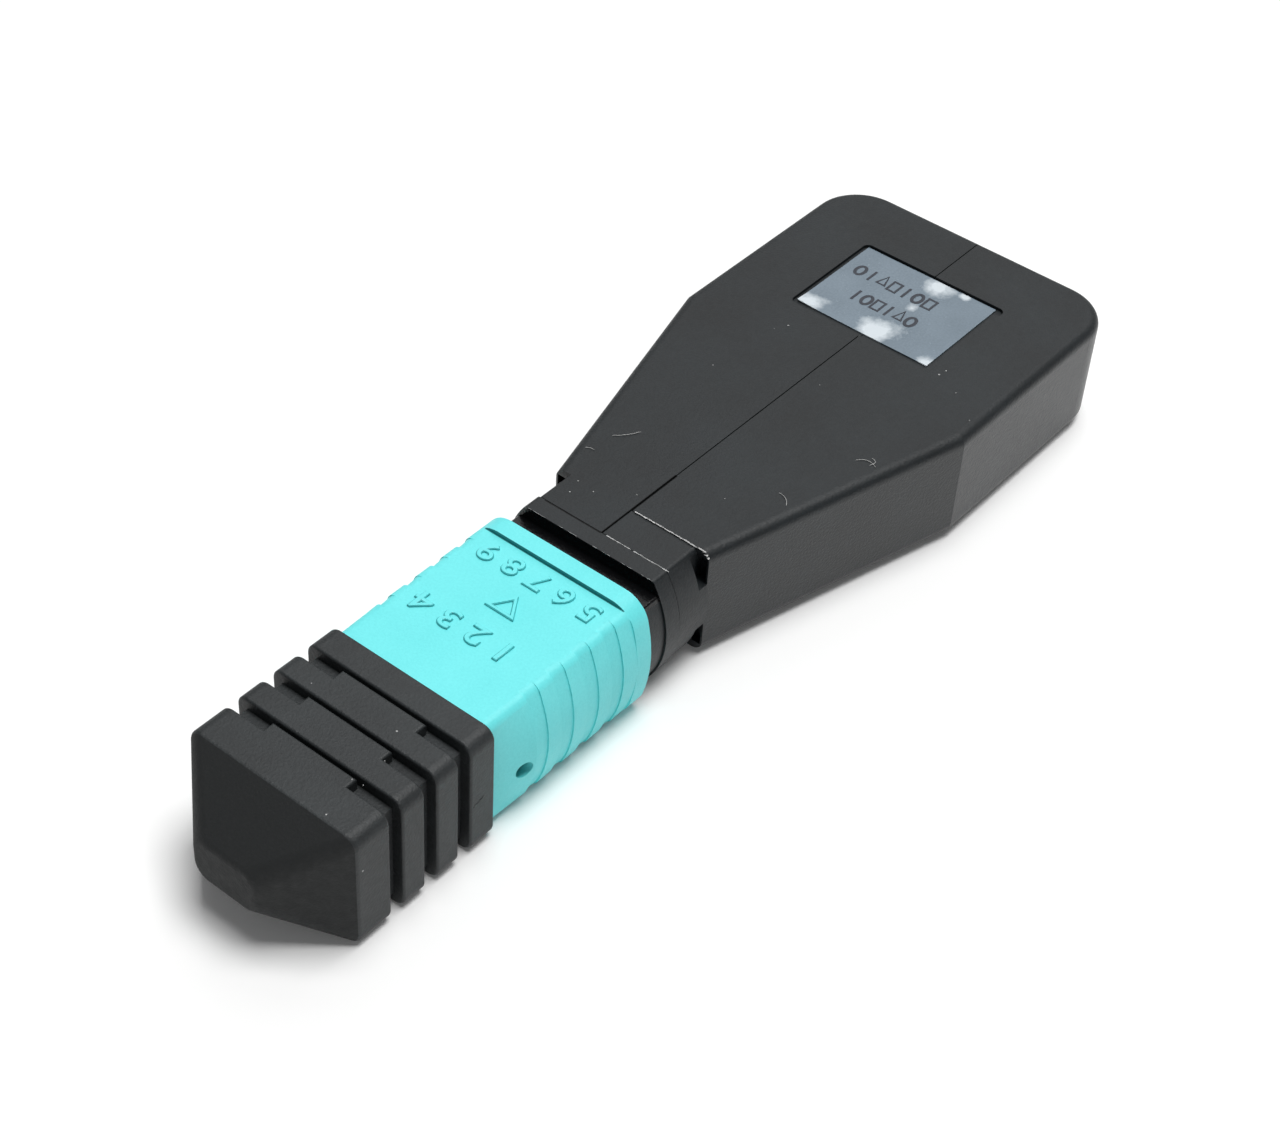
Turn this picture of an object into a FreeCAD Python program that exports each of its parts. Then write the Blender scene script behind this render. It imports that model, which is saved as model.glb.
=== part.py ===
"""Multi-fibre loopback plug: a push-pull plug with twelve fibres that turn back inside a flat paddle housing.

Frame: the origin is the centre of the ferrule's end face, +X is the way the plug enters its adapter, +Y is
one side of the plug and +Z is the key side. Lengths are millimetres.
"""

import FreeCAD, Part
import math
import os

import Sketcher

DRIVING_SIZES = {
    # outer coupling: the sleeve that is pulled back to let the plug go
    "coupling_length": 14.46,
    "coupling_width": 12.4,
    "coupling_height": 8.8,
    "coupling_corner": 0.7,
    "coupling_front": 4.56,
    "coupling_travel": 1.6,
    "grip_width": 14.2,
    "grip_corner": 0.7,
    "grip_bow": 1.05,
    "grip_pitch": 2.4,
    "grip_groove": 1.15,
    "grip_depth": 0.2,
    "grip_step": 0.1,
    "rib_length": 1.38,
    "rib_rise": 0.3,
    "rib_corner": 2.0,
    "rib_bow": 0.95,
    "skirt_depth": 2.0,
    "skirt_gap": 0.1,
    "lip_length": 0.9,
    "side_hole": 1.25,
    "side_hole_back": 2.6,
    "side_hole_drop": 0.87,
    "side_room_length": 2.2,
    "side_room_height": 2.6,
    "side_wall": 0.85,
    # plug body that the coupling slides on
    "nose_reach": 5.44,
    "nose_width": 9.2,
    "nose_height": 5.2,
    "nose_corner": 0.35,
    "key_width": 3.0,
    "key_rise": 0.5,
    "key_length": 7.4,
    "key_setback": 1.0,
    "latch_depth": 0.45,
    "latch_length": 2.5,
    "latch_setback": 5.9,
    "latch_height": 3.2,
    "stop_rise": 1.0,
    "stop_width": 6.4,
    "stop_length": 2.9,
    "ear_length": 1.1,
    "ear_height": 1.4,
    "slide_gap": 0.15,
    "seat_gap": 0.05,
    # ferrule, its boot and the keeper behind it
    "face_reach": 0.6,
    "ferrule_length": 8.0,
    "ferrule_width": 6.4,
    "ferrule_height": 2.5,
    "flange_width": 7.0,
    "flange_height": 3.0,
    "flange_length": 2.0,
    "ferrule_travel": 0.9,
    "guide_pitch": 4.6,
    "guide_bore": 0.7,
    "window_length": 1.3,
    "window_width": 3.0,
    "window_setback": 3.0,
    "window_depth": 0.95,
    "boot_width": 3.4,
    "boot_height": 1.5,
    "boot_length": 7.0,
    "boot_insert": 2.9,
    "boot_corner": 0.45,
    "keeper_plate": 0.88,
    "keeper_boss": 0.8,
    # springs
    "ferrule_wire": 0.5,
    "ferrule_coil_run": 1.2,
    "ferrule_coil_radius": 1.75,
    "ferrule_coil_turns": 5,
    "ferrule_coil_length": 6.6,
    "return_wire": 0.26,
    "return_coil": 1.2,
    "return_turns": 7,
    "return_length": 5.7,
    # spring push: neck, flange and collar between the coupling and the housing
    "neck_gap": 2.0,
    "neck_reach": 2.3,
    "neck_width": 13.2,
    "neck_height": 6.7,
    "neck_corner": 0.2,
    "neck_bow": 0.8,
    "push_flange": 1.37,
    "collar_length": 3.06,
    "collar_width": 13.5,
    "collar_step": 0.08,
    "collar_corner": 0.35,
    "collar_bow": 1.4,
    "collar_line": 0.12,
    "collar_line_depth": 0.16,
    "notch_length": 0.85,
    "notch_inside": 5.45,
    "notch_low": 1.75,
    "throat_width": 4.6,
    "throat_height": 2.2,
    "waist_width": 8.0,
    "waist_height": 5.2,
    "tail_width": 9.8,
    "tail_height": 6.0,
    "tail_length": 1.3,
    "snap_rise": 0.5,
    "snap_length": 1.0,
    "snap_height": 1.6,
    "snap_back": 3.1,
    # housing: two identical mouldings that meet on the middle plane
    "housing_length": 41.37,
    "housing_width": 24.2,
    "housing_height": 8.66,
    "shoulder_width": 12.9,
    "taper_length": 21.1,
    "rear_corner": 3.9,
    "edge_round": 0.8,
    "wall": 1.2,
    "front_wall": 1.92,
    "tongue_depth": 0.95,
    "tongue_width": 5.2,
    "fit_gap": 0.05,
    "parting_gap": 0.04,
    "parting_depth": 0.3,
    "parting_open": 0.07,
    "parting_open_length": 7.7,
    "pocket_depth": 0.6,
    "pocket_width": 0.85,
    "pocket_height": 2.0,
    "recess_back": 25.5,
    "recess_length": 9.7,
    "recess_width": 12.3,
    "recess_depth": 0.25,
    "recess_corner": 0.5,
    "post_back": 29.2,
    "post_length": 4.6,
    "post_depth": 2.6,
    "post_root": 0.35,
    "pin_width": 1.5,
    "pin_length": 1.2,
    "pin_offset": 1.5,
    "front_pin_width": 0.8,
    # label film
    "label_margin": 0.3,
    "label_thickness": 0.12,
    # fibres
    "fibre_width": 0.2,
    "fibre_pitch": 0.25,
    "loop_side_gap": 1.5,
    "loop_step": 0.45,
    "loop_rear_gap": 0.8,
    "flare_radius": 12.0,
    "flare_gap": 1.3,
    # dust cap
    "cap_width": 13.46,
    "cap_height": 9.2,
    "cap_corner": 0.9,
    "cap_length": 11.72,
    "cap_nose_length": 4.1,
    "cap_tip_width": 5.0,
    "cap_tip_height": 3.3,
    "cap_tip_corner": 1.25,
    "cap_tip_round": 0.6,
    "cap_brow_round": 0.35,
    "cap_ring_round": 0.18,
    "cap_ring_pitch": 2.92,
    "cap_first_groove": 2.14,
    "cap_groove": 1.05,
    "cap_slit": 0.25,
    "cap_tab_width": 6.8,
    "cap_core_wall": 0.5,
    "cap_room": 3.0,
    "cap_rib_width": 0.8,
    "cap_rib_place": 5.2,
}
GRIP_COUNT = 4
GROOVE_COUNT = 3
LOOP_COUNT = 6

doc = FreeCAD.newDocument("loopback_plug")
sheet = doc.addObject("Spreadsheet::Sheet", "dims")
for row, (alias, number) in enumerate(DRIVING_SIZES.items(), start=1):
    sheet.set(f"A{row}", alias)
    sheet.set(f"B{row}", str(number))
    sheet.setAlias(f"B{row}", alias)
doc.recompute()


class Size:
    """A length that carries its value together with the sheet expression that gives it."""

    def __init__(self, value, text):
        self.value = value
        self.text = text

    @staticmethod
    def of(item):
        return item if isinstance(item, Size) else Size(float(item), repr(float(item)))

    def __add__(self, other):
        other = Size.of(other)
        return Size(self.value + other.value, f"({self.text} + {other.text})")

    def __sub__(self, other):
        other = Size.of(other)
        return Size(self.value - other.value, f"({self.text} - {other.text})")

    def __mul__(self, other):
        other = Size.of(other)
        return Size(self.value * other.value, f"({self.text} * {other.text})")

    def __truediv__(self, other):
        other = Size.of(other)
        return Size(self.value / other.value, f"({self.text} / {other.text})")

    def __neg__(self):
        return Size(-self.value, f"(0 - {self.text})")

    def root(self):
        return Size(math.sqrt(self.value), f"sqrt({self.text})")


def dim(alias):
    """The driving size of that name."""
    return Size(float(sheet.get(alias)), f"dims.{alias}")


def half(alias):
    return dim(alias) / 2


ZERO = Size.of(0)
# How far a cut's outline runs past the outside of what it cuts.
OVERCUT = Size.of(1)

# Stations along X, from the ferrule's end face at zero towards the rear.
NOSE_FRONT = -dim("face_reach")
COUPLING_FRONT = NOSE_FRONT - dim("nose_reach")
COUPLING_REAR = COUPLING_FRONT - dim("coupling_length")
GRIP_FRONT = COUPLING_FRONT - dim("coupling_front")
FLANGE_FRONT = COUPLING_REAR - dim("neck_gap")
COLLAR_FRONT = FLANGE_FRONT - dim("push_flange")
HOUSING_FRONT = COLLAR_FRONT - dim("collar_length")
HOUSING_REAR = HOUSING_FRONT - dim("housing_length")
CAVITY_FRONT = HOUSING_FRONT - dim("front_wall")
TAIL_REAR = CAVITY_FRONT - dim("seat_gap") - dim("tail_length")
FERRULE_REAR = -dim("ferrule_length")
FERRULE_SHOULDER = FERRULE_REAR + dim("flange_length")
KEEPER_REAR = FERRULE_REAR - dim("keeper_plate")
PUSH_FRONT = KEEPER_REAR - dim("ferrule_coil_length")
BOOT_FRONT = FERRULE_REAR + dim("boot_insert")
BOOT_REAR = BOOT_FRONT - dim("boot_length")
LIP_FRONT = COUPLING_REAR + dim("skirt_depth") + dim("lip_length")
STOP_REAR = LIP_FRONT + dim("slide_gap")
STOP_FRONT = STOP_REAR + dim("stop_length")
STEP_FACE = STOP_FRONT + dim("coupling_travel") + dim("slide_gap") * 2
EAR_FRONT = STOP_REAR + dim("ear_length")
SPRING_SEAT = EAR_FRONT + dim("return_length")
CAP_FRONT = COUPLING_FRONT + dim("cap_length")

# Half sizes shared by pieces that fit in one another.
BORE_Y = half("nose_width") + dim("slide_gap")
BORE_Z = half("nose_height") + dim("key_rise") + dim("slide_gap")
STOP_Z = half("nose_height") + dim("stop_rise")
CHANNEL_Y = BORE_Y + dim("return_coil") + dim("slide_gap")
CHANNEL_Z = half("ear_height") + dim("slide_gap")
RETURN_Y = BORE_Y + dim("seat_gap") + half("return_coil")
FERRULE_ROOM_Y = half("flange_width") + dim("slide_gap")
FERRULE_ROOM_Z = half("flange_height") + dim("slide_gap")
COIL_Z = dim("ferrule_coil_radius") + half("ferrule_wire")
REAR_ROOM_Y = half("flange_width") + dim("slide_gap") + dim("fit_gap")
REAR_ROOM_Z = COIL_Z + dim("fit_gap") * 2
PUSH_Y = REAR_ROOM_Y - dim("fit_gap")
PUSH_Z = REAR_ROOM_Z - dim("fit_gap")
TOP = half("housing_height")
SIDE = half("housing_width")
CAVITY_Z = TOP - dim("wall")
LOOP_RADIUS = SIDE - dim("wall") - dim("loop_side_gap")


def new_body(label):
    body = doc.addObject("PartDesign::Body", label)
    body.Label = label
    return body


def new_sketch(body, name, role, offset=ZERO):
    """A sketch on one of the body's own origin planes, moved along the plane's normal by offset."""
    sketch = body.newObject("Sketcher::SketchObject", name)
    plane = next(item for item in body.Origin.OriginFeatures if item.Role == role)
    sketch.AttachmentSupport = [(plane, "")]
    sketch.MapMode = "FlatFace"
    sketch.AttachmentOffset = FreeCAD.Placement(FreeCAD.Vector(0, 0, offset.value), FreeCAD.Rotation())
    sketch.setExpression(".AttachmentOffset.Base.z", offset.text)
    return sketch


def arc_centre(start, end, radius, left):
    """The centre of the arc of that radius from start to end, on the left of the chord or on its right."""
    chord = end - start
    rise = math.sqrt(max(radius * radius - chord.Length * chord.Length / 4, 0.0))
    normal = FreeCAD.Vector(-chord.y, chord.x, 0).normalize()
    return start + chord / 2 + normal * (rise if left else -rise)


def outline(sketch, points, arcs=None):
    """Close a profile through the points; arcs maps an edge's number to (radius, centre on the left)."""
    arcs = arcs or {}
    spots = [FreeCAD.Vector(u.value, v.value, 0) for u, v in points]
    first = sketch.GeometryCount
    for index, start in enumerate(spots):
        end = spots[(index + 1) % len(spots)]
        if index in arcs:
            radius, left = arcs[index]
            centre = arc_centre(start, end, radius.value, left)
            circle = Part.Circle(centre, FreeCAD.Vector(0, 0, 1), radius.value)
            begin, finish = (start, end) if left else (end, start)
            sketch.addGeometry(
                Part.ArcOfCircle(circle, circle.parameter(begin), circle.parameter(finish)), False)
        else:
            sketch.addGeometry(Part.LineSegment(start, end), False)

    def tip(index, at_start):
        """Which end of an edge lies at the start or the end of its step round the profile."""
        if index in arcs and not arcs[index][1]:
            return 2 if at_start else 1
        return 1 if at_start else 2

    count = len(spots)
    for index in range(count):
        after = (index + 1) % count
        sketch.addConstraint(Sketcher.Constraint(
            "Coincident", first + index, tip(index, False), first + after, tip(after, True)))
    for index, (u, v) in enumerate(points):
        for kind, size in (("DistanceX", u), ("DistanceY", v)):
            number = sketch.addConstraint(Sketcher.Constraint(
                kind, -1, 1, first + index, tip(index, True), size.value))
            sketch.setExpression(f"Constraints[{number}]", size.text)
        if index in arcs:
            number = sketch.addConstraint(Sketcher.Constraint(
                "Radius", first + index, arcs[index][0].value))
            sketch.setExpression(f"Constraints[{number}]", arcs[index][0].text)


def box_outline(sketch, low_u, high_u, low_v, high_v):
    outline(sketch, [(low_u, low_v), (high_u, low_v), (high_u, high_v), (low_u, high_v)])


def centred_box(sketch, half_u, half_v):
    box_outline(sketch, -half_u, half_u, -half_v, half_v)


def rounded_box(sketch, half_u, half_v, radius, u=ZERO, v=ZERO):
    """A rectangle about (u, v) with four equal round corners."""
    inner_u = half_u - radius
    inner_v = half_v - radius
    points = [
        (u - inner_u, v - half_v), (u + inner_u, v - half_v),
        (u + half_u, v - inner_v), (u + half_u, v + inner_v),
        (u + inner_u, v + half_v), (u - inner_u, v + half_v),
        (u - half_u, v + inner_v), (u - half_u, v - inner_v),
    ]
    outline(sketch, points, {index: (radius, True) for index in (1, 3, 5, 7)})


def round_hole(sketch, u, v, radius):
    first = sketch.GeometryCount
    circle = Part.Circle(FreeCAD.Vector(u.value, v.value, 0), FreeCAD.Vector(0, 0, 1), radius.value)
    sketch.addGeometry(circle, False)
    for kind, size in (("DistanceX", u), ("DistanceY", v)):
        number = sketch.addConstraint(Sketcher.Constraint(kind, -1, 1, first, 3, size.value))
        sketch.setExpression(f"Constraints[{number}]", size.text)
    number = sketch.addConstraint(Sketcher.Constraint("Radius", first, radius.value))
    sketch.setExpression(f"Constraints[{number}]", radius.text)


def barrel(sketch, height, side, corner, bow):
    """A section with flat top and bottom, round corners and sides that bow out as far as side."""
    side_radius = (height * height + bow * bow) / (bow * 2)
    side_centre = side - side_radius
    reach = side_radius - corner
    drop = height - corner
    corner_y = side_centre + (reach * reach - drop * drop).root()
    share = side_radius / reach
    join_y = side_centre + (corner_y - side_centre) * share
    join_z = drop * share
    points = [
        (-corner_y, -height), (corner_y, -height), (join_y, -join_z), (join_y, join_z),
        (corner_y, height), (-corner_y, height), (-join_y, join_z), (-join_y, -join_z),
    ]
    arcs = {index: (corner, True) for index in (1, 3, 5, 7)}
    arcs[2] = (side_radius, True)
    arcs[6] = (side_radius, True)
    outline(sketch, points, arcs)


def pad(body, name, role, offset, length, draw, midplane=False, backward=False):
    """Draw a sketch and raise it by length; returns the pad."""
    sketch = new_sketch(body, f"{name}_sketch", role, offset)
    draw(sketch)
    feature = body.newObject("PartDesign::Pad", name)
    feature.Profile = sketch
    feature.Length = length.value
    feature.setExpression("Length", length.text)
    feature.Midplane = midplane
    feature.Reversed = backward
    doc.recompute()
    return feature


def pocket(body, name, role, offset, length, draw, midplane=False, forward=False):
    """Draw a sketch and cut it by length against the sketch's normal, or along it when forward is set."""
    before = body.Shape.Volume
    sketch = new_sketch(body, f"{name}_sketch", role, offset)
    draw(sketch)
    feature = body.newObject("PartDesign::Pocket", name)
    feature.Profile = sketch
    feature.Length = length.value
    feature.setExpression("Length", length.text)
    feature.Midplane = midplane
    feature.Reversed = forward
    doc.recompute()
    if body.Shape.Volume > before - 1e-6:
        raise RuntimeError(f"{name} cuts nothing")
    return feature


def loft(body, name, stations):
    """Join sections at several stations along X; stations holds (offset, draw)."""
    sketches = []
    for number, (offset, draw) in enumerate(stations, start=1):
        sketch = new_sketch(body, f"{name}_section_{number}", "YZ_Plane", offset)
        draw(sketch)
        sketches.append(sketch)
    doc.recompute()
    feature = body.newObject("PartDesign::AdditiveLoft", name)
    feature.Profile = sketches[0]
    feature.Sections = sketches[1:]
    feature.Ruled = True
    doc.recompute()
    return feature


def repeat_along_x(body, name, feature, spacing, count):
    """Repeat a feature towards the rear."""
    axis = next(item for item in body.Origin.OriginFeatures if item.Role == "X_Axis")
    pattern = body.newObject("PartDesign::LinearPattern", name)
    pattern.Originals = [feature]
    pattern.Direction = (axis, [""])
    pattern.Reversed = True
    pattern.Length = spacing.value * (count - 1)
    pattern.setExpression("Length", (spacing * (count - 1)).text)
    pattern.Occurrences = count
    body.Tip = pattern
    doc.recompute()
    return pattern


def fillet(body, name, radius, wanted):
    """Round the tip's edges that wanted accepts."""
    base = body.Tip
    names = [f"Edge{number}" for number, edge in enumerate(base.Shape.Edges, start=1) if wanted(edge)]
    if not names:
        raise RuntimeError(f"{name} finds no edge")
    feature = body.newObject("PartDesign::Fillet", name)
    feature.Base = (base, names)
    feature.Radius = radius.value
    feature.setExpression("Radius", radius.text)
    doc.recompute()
    return feature


def build_coupling():
    body = new_body("outer_coupling")
    top = half("coupling_height")
    side = half("grip_width")
    corner = dim("grip_corner")
    bow = dim("grip_bow")

    def grip(sketch, cut=ZERO):
        barrel(sketch, top, side - cut, corner, bow)

    # The front is square cut, and bows out into the grips.
    # The floor of each groove rises to a small step.
    loft(body, "front_block", [
        (COUPLING_FRONT, lambda sketch: rounded_box(
            sketch, half("coupling_width"), top, dim("coupling_corner"))),
        (GRIP_FRONT + dim("grip_groove"), grip)])
    land = dim("grip_pitch") - dim("grip_groove")
    for number in range(GRIP_COUNT):
        step = GRIP_FRONT - dim("grip_pitch") * number
        loft(body, f"grip_groove_{number + 1}", [
            (step + dim("grip_groove"), lambda sketch: grip(sketch, dim("grip_depth"))),
            (step, lambda sketch: grip(sketch, dim("grip_step")))])
        if number < GRIP_COUNT - 1:
            pad(body, f"grip_land_{number + 1}", "YZ_Plane", step - land, land, grip)
    rib_front = COUPLING_REAR + dim("rib_length")
    rim_front = GRIP_FRONT - dim("grip_pitch") * (GRIP_COUNT - 1)
    pad(body, "rim", "YZ_Plane", rib_front, rim_front - rib_front, grip)
    pad(body, "rear_rib", "YZ_Plane", COUPLING_REAR, dim("rib_length"), lambda sketch: barrel(
        sketch, top + dim("rib_rise"), side, dim("rib_corner"), dim("rib_bow")))
    gap = dim("skirt_gap")
    pocket(body, "skirt", "YZ_Plane", COUPLING_REAR, dim("skirt_depth"), lambda sketch: barrel(
        sketch, half("neck_height") + gap, half("neck_width") + gap, dim("neck_corner"),
        dim("neck_bow")), forward=True)
    pocket(body, "plug_bore", "YZ_Plane", COUPLING_FRONT, dim("coupling_length"),
           lambda sketch: centred_box(sketch, BORE_Y, BORE_Z))
    pocket(body, "stop_room", "YZ_Plane", STEP_FACE, STEP_FACE - LIP_FRONT,
           lambda sketch: centred_box(sketch, half("stop_width") + dim("slide_gap"),
                                      STOP_Z + dim("slide_gap")))
    pocket(body, "spring_channels", "YZ_Plane", SPRING_SEAT, SPRING_SEAT - COUPLING_REAR,
           lambda sketch: centred_box(sketch, CHANNEL_Y, CHANNEL_Z))
    hole_x = COUPLING_FRONT - dim("side_hole_back")
    hole_z = -dim("side_hole_drop")
    pocket(body, "side_holes", "XZ_Plane", ZERO, dim("grip_width"),
           lambda sketch: round_hole(sketch, hole_x, hole_z, half("side_hole")), midplane=True)
    room_x = half("side_room_length")
    room_z = half("side_room_height")
    pocket(body, "side_rooms", "XZ_Plane", ZERO, dim("grip_width") - dim("side_wall") * 2,
           lambda sketch: box_outline(sketch, hole_x - room_x, hole_x + room_x,
                                      hole_z - room_z, hole_z + room_z), midplane=True)
    return body


def build_plug_body():
    body = new_body("inner_housing")
    length = NOSE_FRONT - FLANGE_FRONT
    half_y = half("nose_width")
    half_z = half("nose_height")
    pad(body, "block", "YZ_Plane", FLANGE_FRONT, length,
        lambda sketch: rounded_box(sketch, half_y, half_z, dim("nose_corner")))
    key_rear = NOSE_FRONT - dim("key_setback") - dim("key_length")
    pad(body, "key", "YZ_Plane", key_rear, dim("key_length"), lambda sketch: box_outline(
        sketch, -half("key_width"), half("key_width"), half_z - dim("nose_corner"),
        half_z + dim("key_rise")))
    pad(body, "stops", "YZ_Plane", STOP_REAR, dim("stop_length"),
        lambda sketch: centred_box(sketch, half("stop_width"), STOP_Z))
    pad(body, "ears", "YZ_Plane", STOP_REAR, dim("ear_length"), lambda sketch: centred_box(
        sketch, CHANNEL_Y - dim("slide_gap"), half("ear_height")))
    latch_front = NOSE_FRONT - dim("latch_setback")

    def latch_notches(sketch):
        inner = half_y - dim("latch_depth")
        outer = half_y + dim("latch_depth")
        for low, high in ((inner, outer), (-outer, -inner)):
            box_outline(sketch, low, high, -half("latch_height"), half("latch_height"))

    pocket(body, "latch_notches", "YZ_Plane", latch_front, dim("latch_length"), latch_notches)
    pocket(body, "ferrule_mouth", "YZ_Plane", NOSE_FRONT, NOSE_FRONT - FERRULE_SHOULDER,
           lambda sketch: centred_box(sketch, half("ferrule_width") + dim("fit_gap"),
                                      half("ferrule_height") + dim("fit_gap")))
    pocket(body, "flange_room", "YZ_Plane", FERRULE_SHOULDER, FERRULE_SHOULDER - FLANGE_FRONT,
           lambda sketch: centred_box(sketch, FERRULE_ROOM_Y, FERRULE_ROOM_Z))
    pocket(body, "spring_room", "YZ_Plane", KEEPER_REAR, KEEPER_REAR - FLANGE_FRONT,
           lambda sketch: centred_box(sketch, REAR_ROOM_Y, REAR_ROOM_Z))
    snap_front = FLANGE_FRONT + dim("snap_back") + dim("fit_gap")
    pocket(body, "snap_windows", "YZ_Plane", snap_front, dim("snap_length") + dim("fit_gap") * 2,
           lambda sketch: centred_box(sketch, half_y + OVERCUT, half("snap_height") + dim("fit_gap")))
    return body


def build_ferrule():
    body = new_body("ferrule")
    pad(body, "block", "YZ_Plane", FERRULE_REAR, dim("ferrule_length"),
        lambda sketch: centred_box(sketch, half("ferrule_width"), half("ferrule_height")))
    pad(body, "flange", "YZ_Plane", FERRULE_REAR, dim("flange_length"),
        lambda sketch: centred_box(sketch, half("flange_width"), half("flange_height")))

    def guide_holes(sketch):
        for place in (half("guide_pitch"), -half("guide_pitch")):
            round_hole(sketch, place, ZERO, half("guide_bore"))

    pocket(body, "guide_holes", "YZ_Plane", ZERO, dim("ferrule_length"), guide_holes)
    pocket(body, "boot_room", "YZ_Plane", BOOT_FRONT + dim("seat_gap"),
           dim("boot_insert") + dim("seat_gap"),
           lambda sketch: centred_box(sketch, half("boot_width") + dim("fit_gap"),
                                      half("boot_height") + dim("fit_gap")))
    window_front = -dim("window_setback")
    pocket(body, "glue_window", "XY_Plane", half("ferrule_height"), dim("window_depth"),
           lambda sketch: box_outline(sketch, window_front - dim("window_length"), window_front,
                                      -half("window_width"), half("window_width")))
    return body


def build_boot():
    body = new_body("ferrule_boot")
    pad(body, "block", "YZ_Plane", BOOT_REAR, dim("boot_length"), lambda sketch: rounded_box(
        sketch, half("boot_width"), half("boot_height"), dim("boot_corner")))
    return body


def build_keeper():
    body = new_body("pin_keeper")
    hole_y = half("boot_width") + dim("fit_gap")
    hole_z = half("boot_height") + dim("fit_gap")
    inner_y = dim("ferrule_coil_run") + dim("ferrule_coil_radius") - half("ferrule_wire")
    inner_z = dim("ferrule_coil_radius") - half("ferrule_wire")
    pad(body, "plate", "YZ_Plane", KEEPER_REAR, dim("keeper_plate") - dim("seat_gap"),
        lambda sketch: centred_box(sketch, half("flange_width"), half("flange_height")))
    boss_z = inner_z - dim("slide_gap")
    pad(body, "boss", "YZ_Plane", KEEPER_REAR, dim("keeper_boss"), lambda sketch: rounded_box(
        sketch, inner_y - dim("slide_gap"), boss_z, boss_z - dim("fit_gap")), backward=True)
    pocket(body, "boot_hole", "YZ_Plane", FERRULE_REAR, dim("keeper_plate") + dim("keeper_boss"),
           lambda sketch: centred_box(sketch, hole_y, hole_z))
    return body


def build_spring_push():
    body = new_body("spring_push")
    top = TOP
    side = half("collar_width")
    corner = dim("collar_corner")
    reach = dim("neck_reach")
    pad(body, "neck", "YZ_Plane", FLANGE_FRONT, reach, lambda sketch: barrel(
        sketch, half("neck_height"), half("neck_width"), dim("neck_corner"), dim("neck_bow")))
    pocket(body, "neck_socket", "YZ_Plane", FLANGE_FRONT + reach, reach, lambda sketch: centred_box(
        sketch, half("nose_width") + dim("fit_gap"), half("nose_height") + dim("fit_gap")))
    pad(body, "tube", "YZ_Plane", FLANGE_FRONT, PUSH_FRONT - FLANGE_FRONT,
        lambda sketch: centred_box(sketch, PUSH_Y, PUSH_Z))

    def ring(sketch, cut=ZERO):
        barrel(sketch, top - cut, side - cut, corner, dim("collar_bow"))

    line = dim("collar_line")
    pad(body, "flange", "YZ_Plane", COLLAR_FRONT, dim("push_flange"), ring)
    pad(body, "collar_line", "YZ_Plane", COLLAR_FRONT - line, line,
        lambda sketch: ring(sketch, dim("collar_line_depth")))
    pad(body, "collar", "YZ_Plane", HOUSING_FRONT, dim("collar_length") - line,
        lambda sketch: ring(sketch, dim("collar_step")))
    inside = dim("notch_inside")
    low = dim("notch_low")

    def corner_notches(sketch):
        for low_y, high_y in ((inside, side + OVERCUT), (-side - OVERCUT, -inside)):
            box_outline(sketch, low_y, high_y, low, top + OVERCUT)
            box_outline(sketch, low_y, high_y, -top - OVERCUT, -low)

    pocket(body, "corner_notches", "YZ_Plane", HOUSING_FRONT + dim("notch_length"),
           dim("notch_length"), corner_notches)
    pad(body, "waist", "YZ_Plane", TAIL_REAR, HOUSING_FRONT - TAIL_REAR,
        lambda sketch: centred_box(sketch, half("waist_width"), half("waist_height")))
    pad(body, "tail", "YZ_Plane", TAIL_REAR, dim("tail_length"),
        lambda sketch: centred_box(sketch, half("tail_width"), half("tail_height")))
    snap_rear = FLANGE_FRONT + dim("snap_back") - dim("snap_length")
    pad(body, "snap_tabs", "YZ_Plane", snap_rear, dim("snap_length"), lambda sketch: centred_box(
        sketch, PUSH_Y + dim("snap_rise"), half("snap_height")))
    relief_z = top - dim("tongue_depth") - dim("fit_gap")
    relief_y = dim("tongue_width") + dim("fit_gap")

    def tongue_reliefs(sketch):
        box_outline(sketch, -relief_y, ZERO, relief_z, top + OVERCUT)
        box_outline(sketch, ZERO, relief_y, -top - OVERCUT, -relief_z)

    pocket(body, "tongue_reliefs", "YZ_Plane", COLLAR_FRONT, dim("collar_length"), tongue_reliefs)
    pocket(body, "throat", "YZ_Plane", PUSH_FRONT, PUSH_FRONT - TAIL_REAR,
           lambda sketch: centred_box(sketch, half("throat_width"), half("throat_height")))
    return body


def housing_plan(sketch, inset):
    """Half of the housing's outline seen from above, from the middle plane to the side, moved in by inset."""
    slope = (SIDE - half("shoulder_width")) / dim("taper_length")
    stretch = (slope * slope + 1).root()
    taper_rear = HOUSING_FRONT - dim("taper_length")
    front = HOUSING_FRONT if inset is ZERO else CAVITY_FRONT
    front_y = half("shoulder_width") + (HOUSING_FRONT - front) * slope - inset * stretch
    side = SIDE - inset
    corner_x = taper_rear + inset * (stretch - 1) / slope
    rear = HOUSING_REAR + inset
    radius = dim("rear_corner") - inset
    points = [(front, ZERO), (rear, ZERO), (rear, side - radius), (rear + radius, side),
              (corner_x, side), (front, front_y)]
    outline(sketch, points, {2: (radius, False)})


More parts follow.
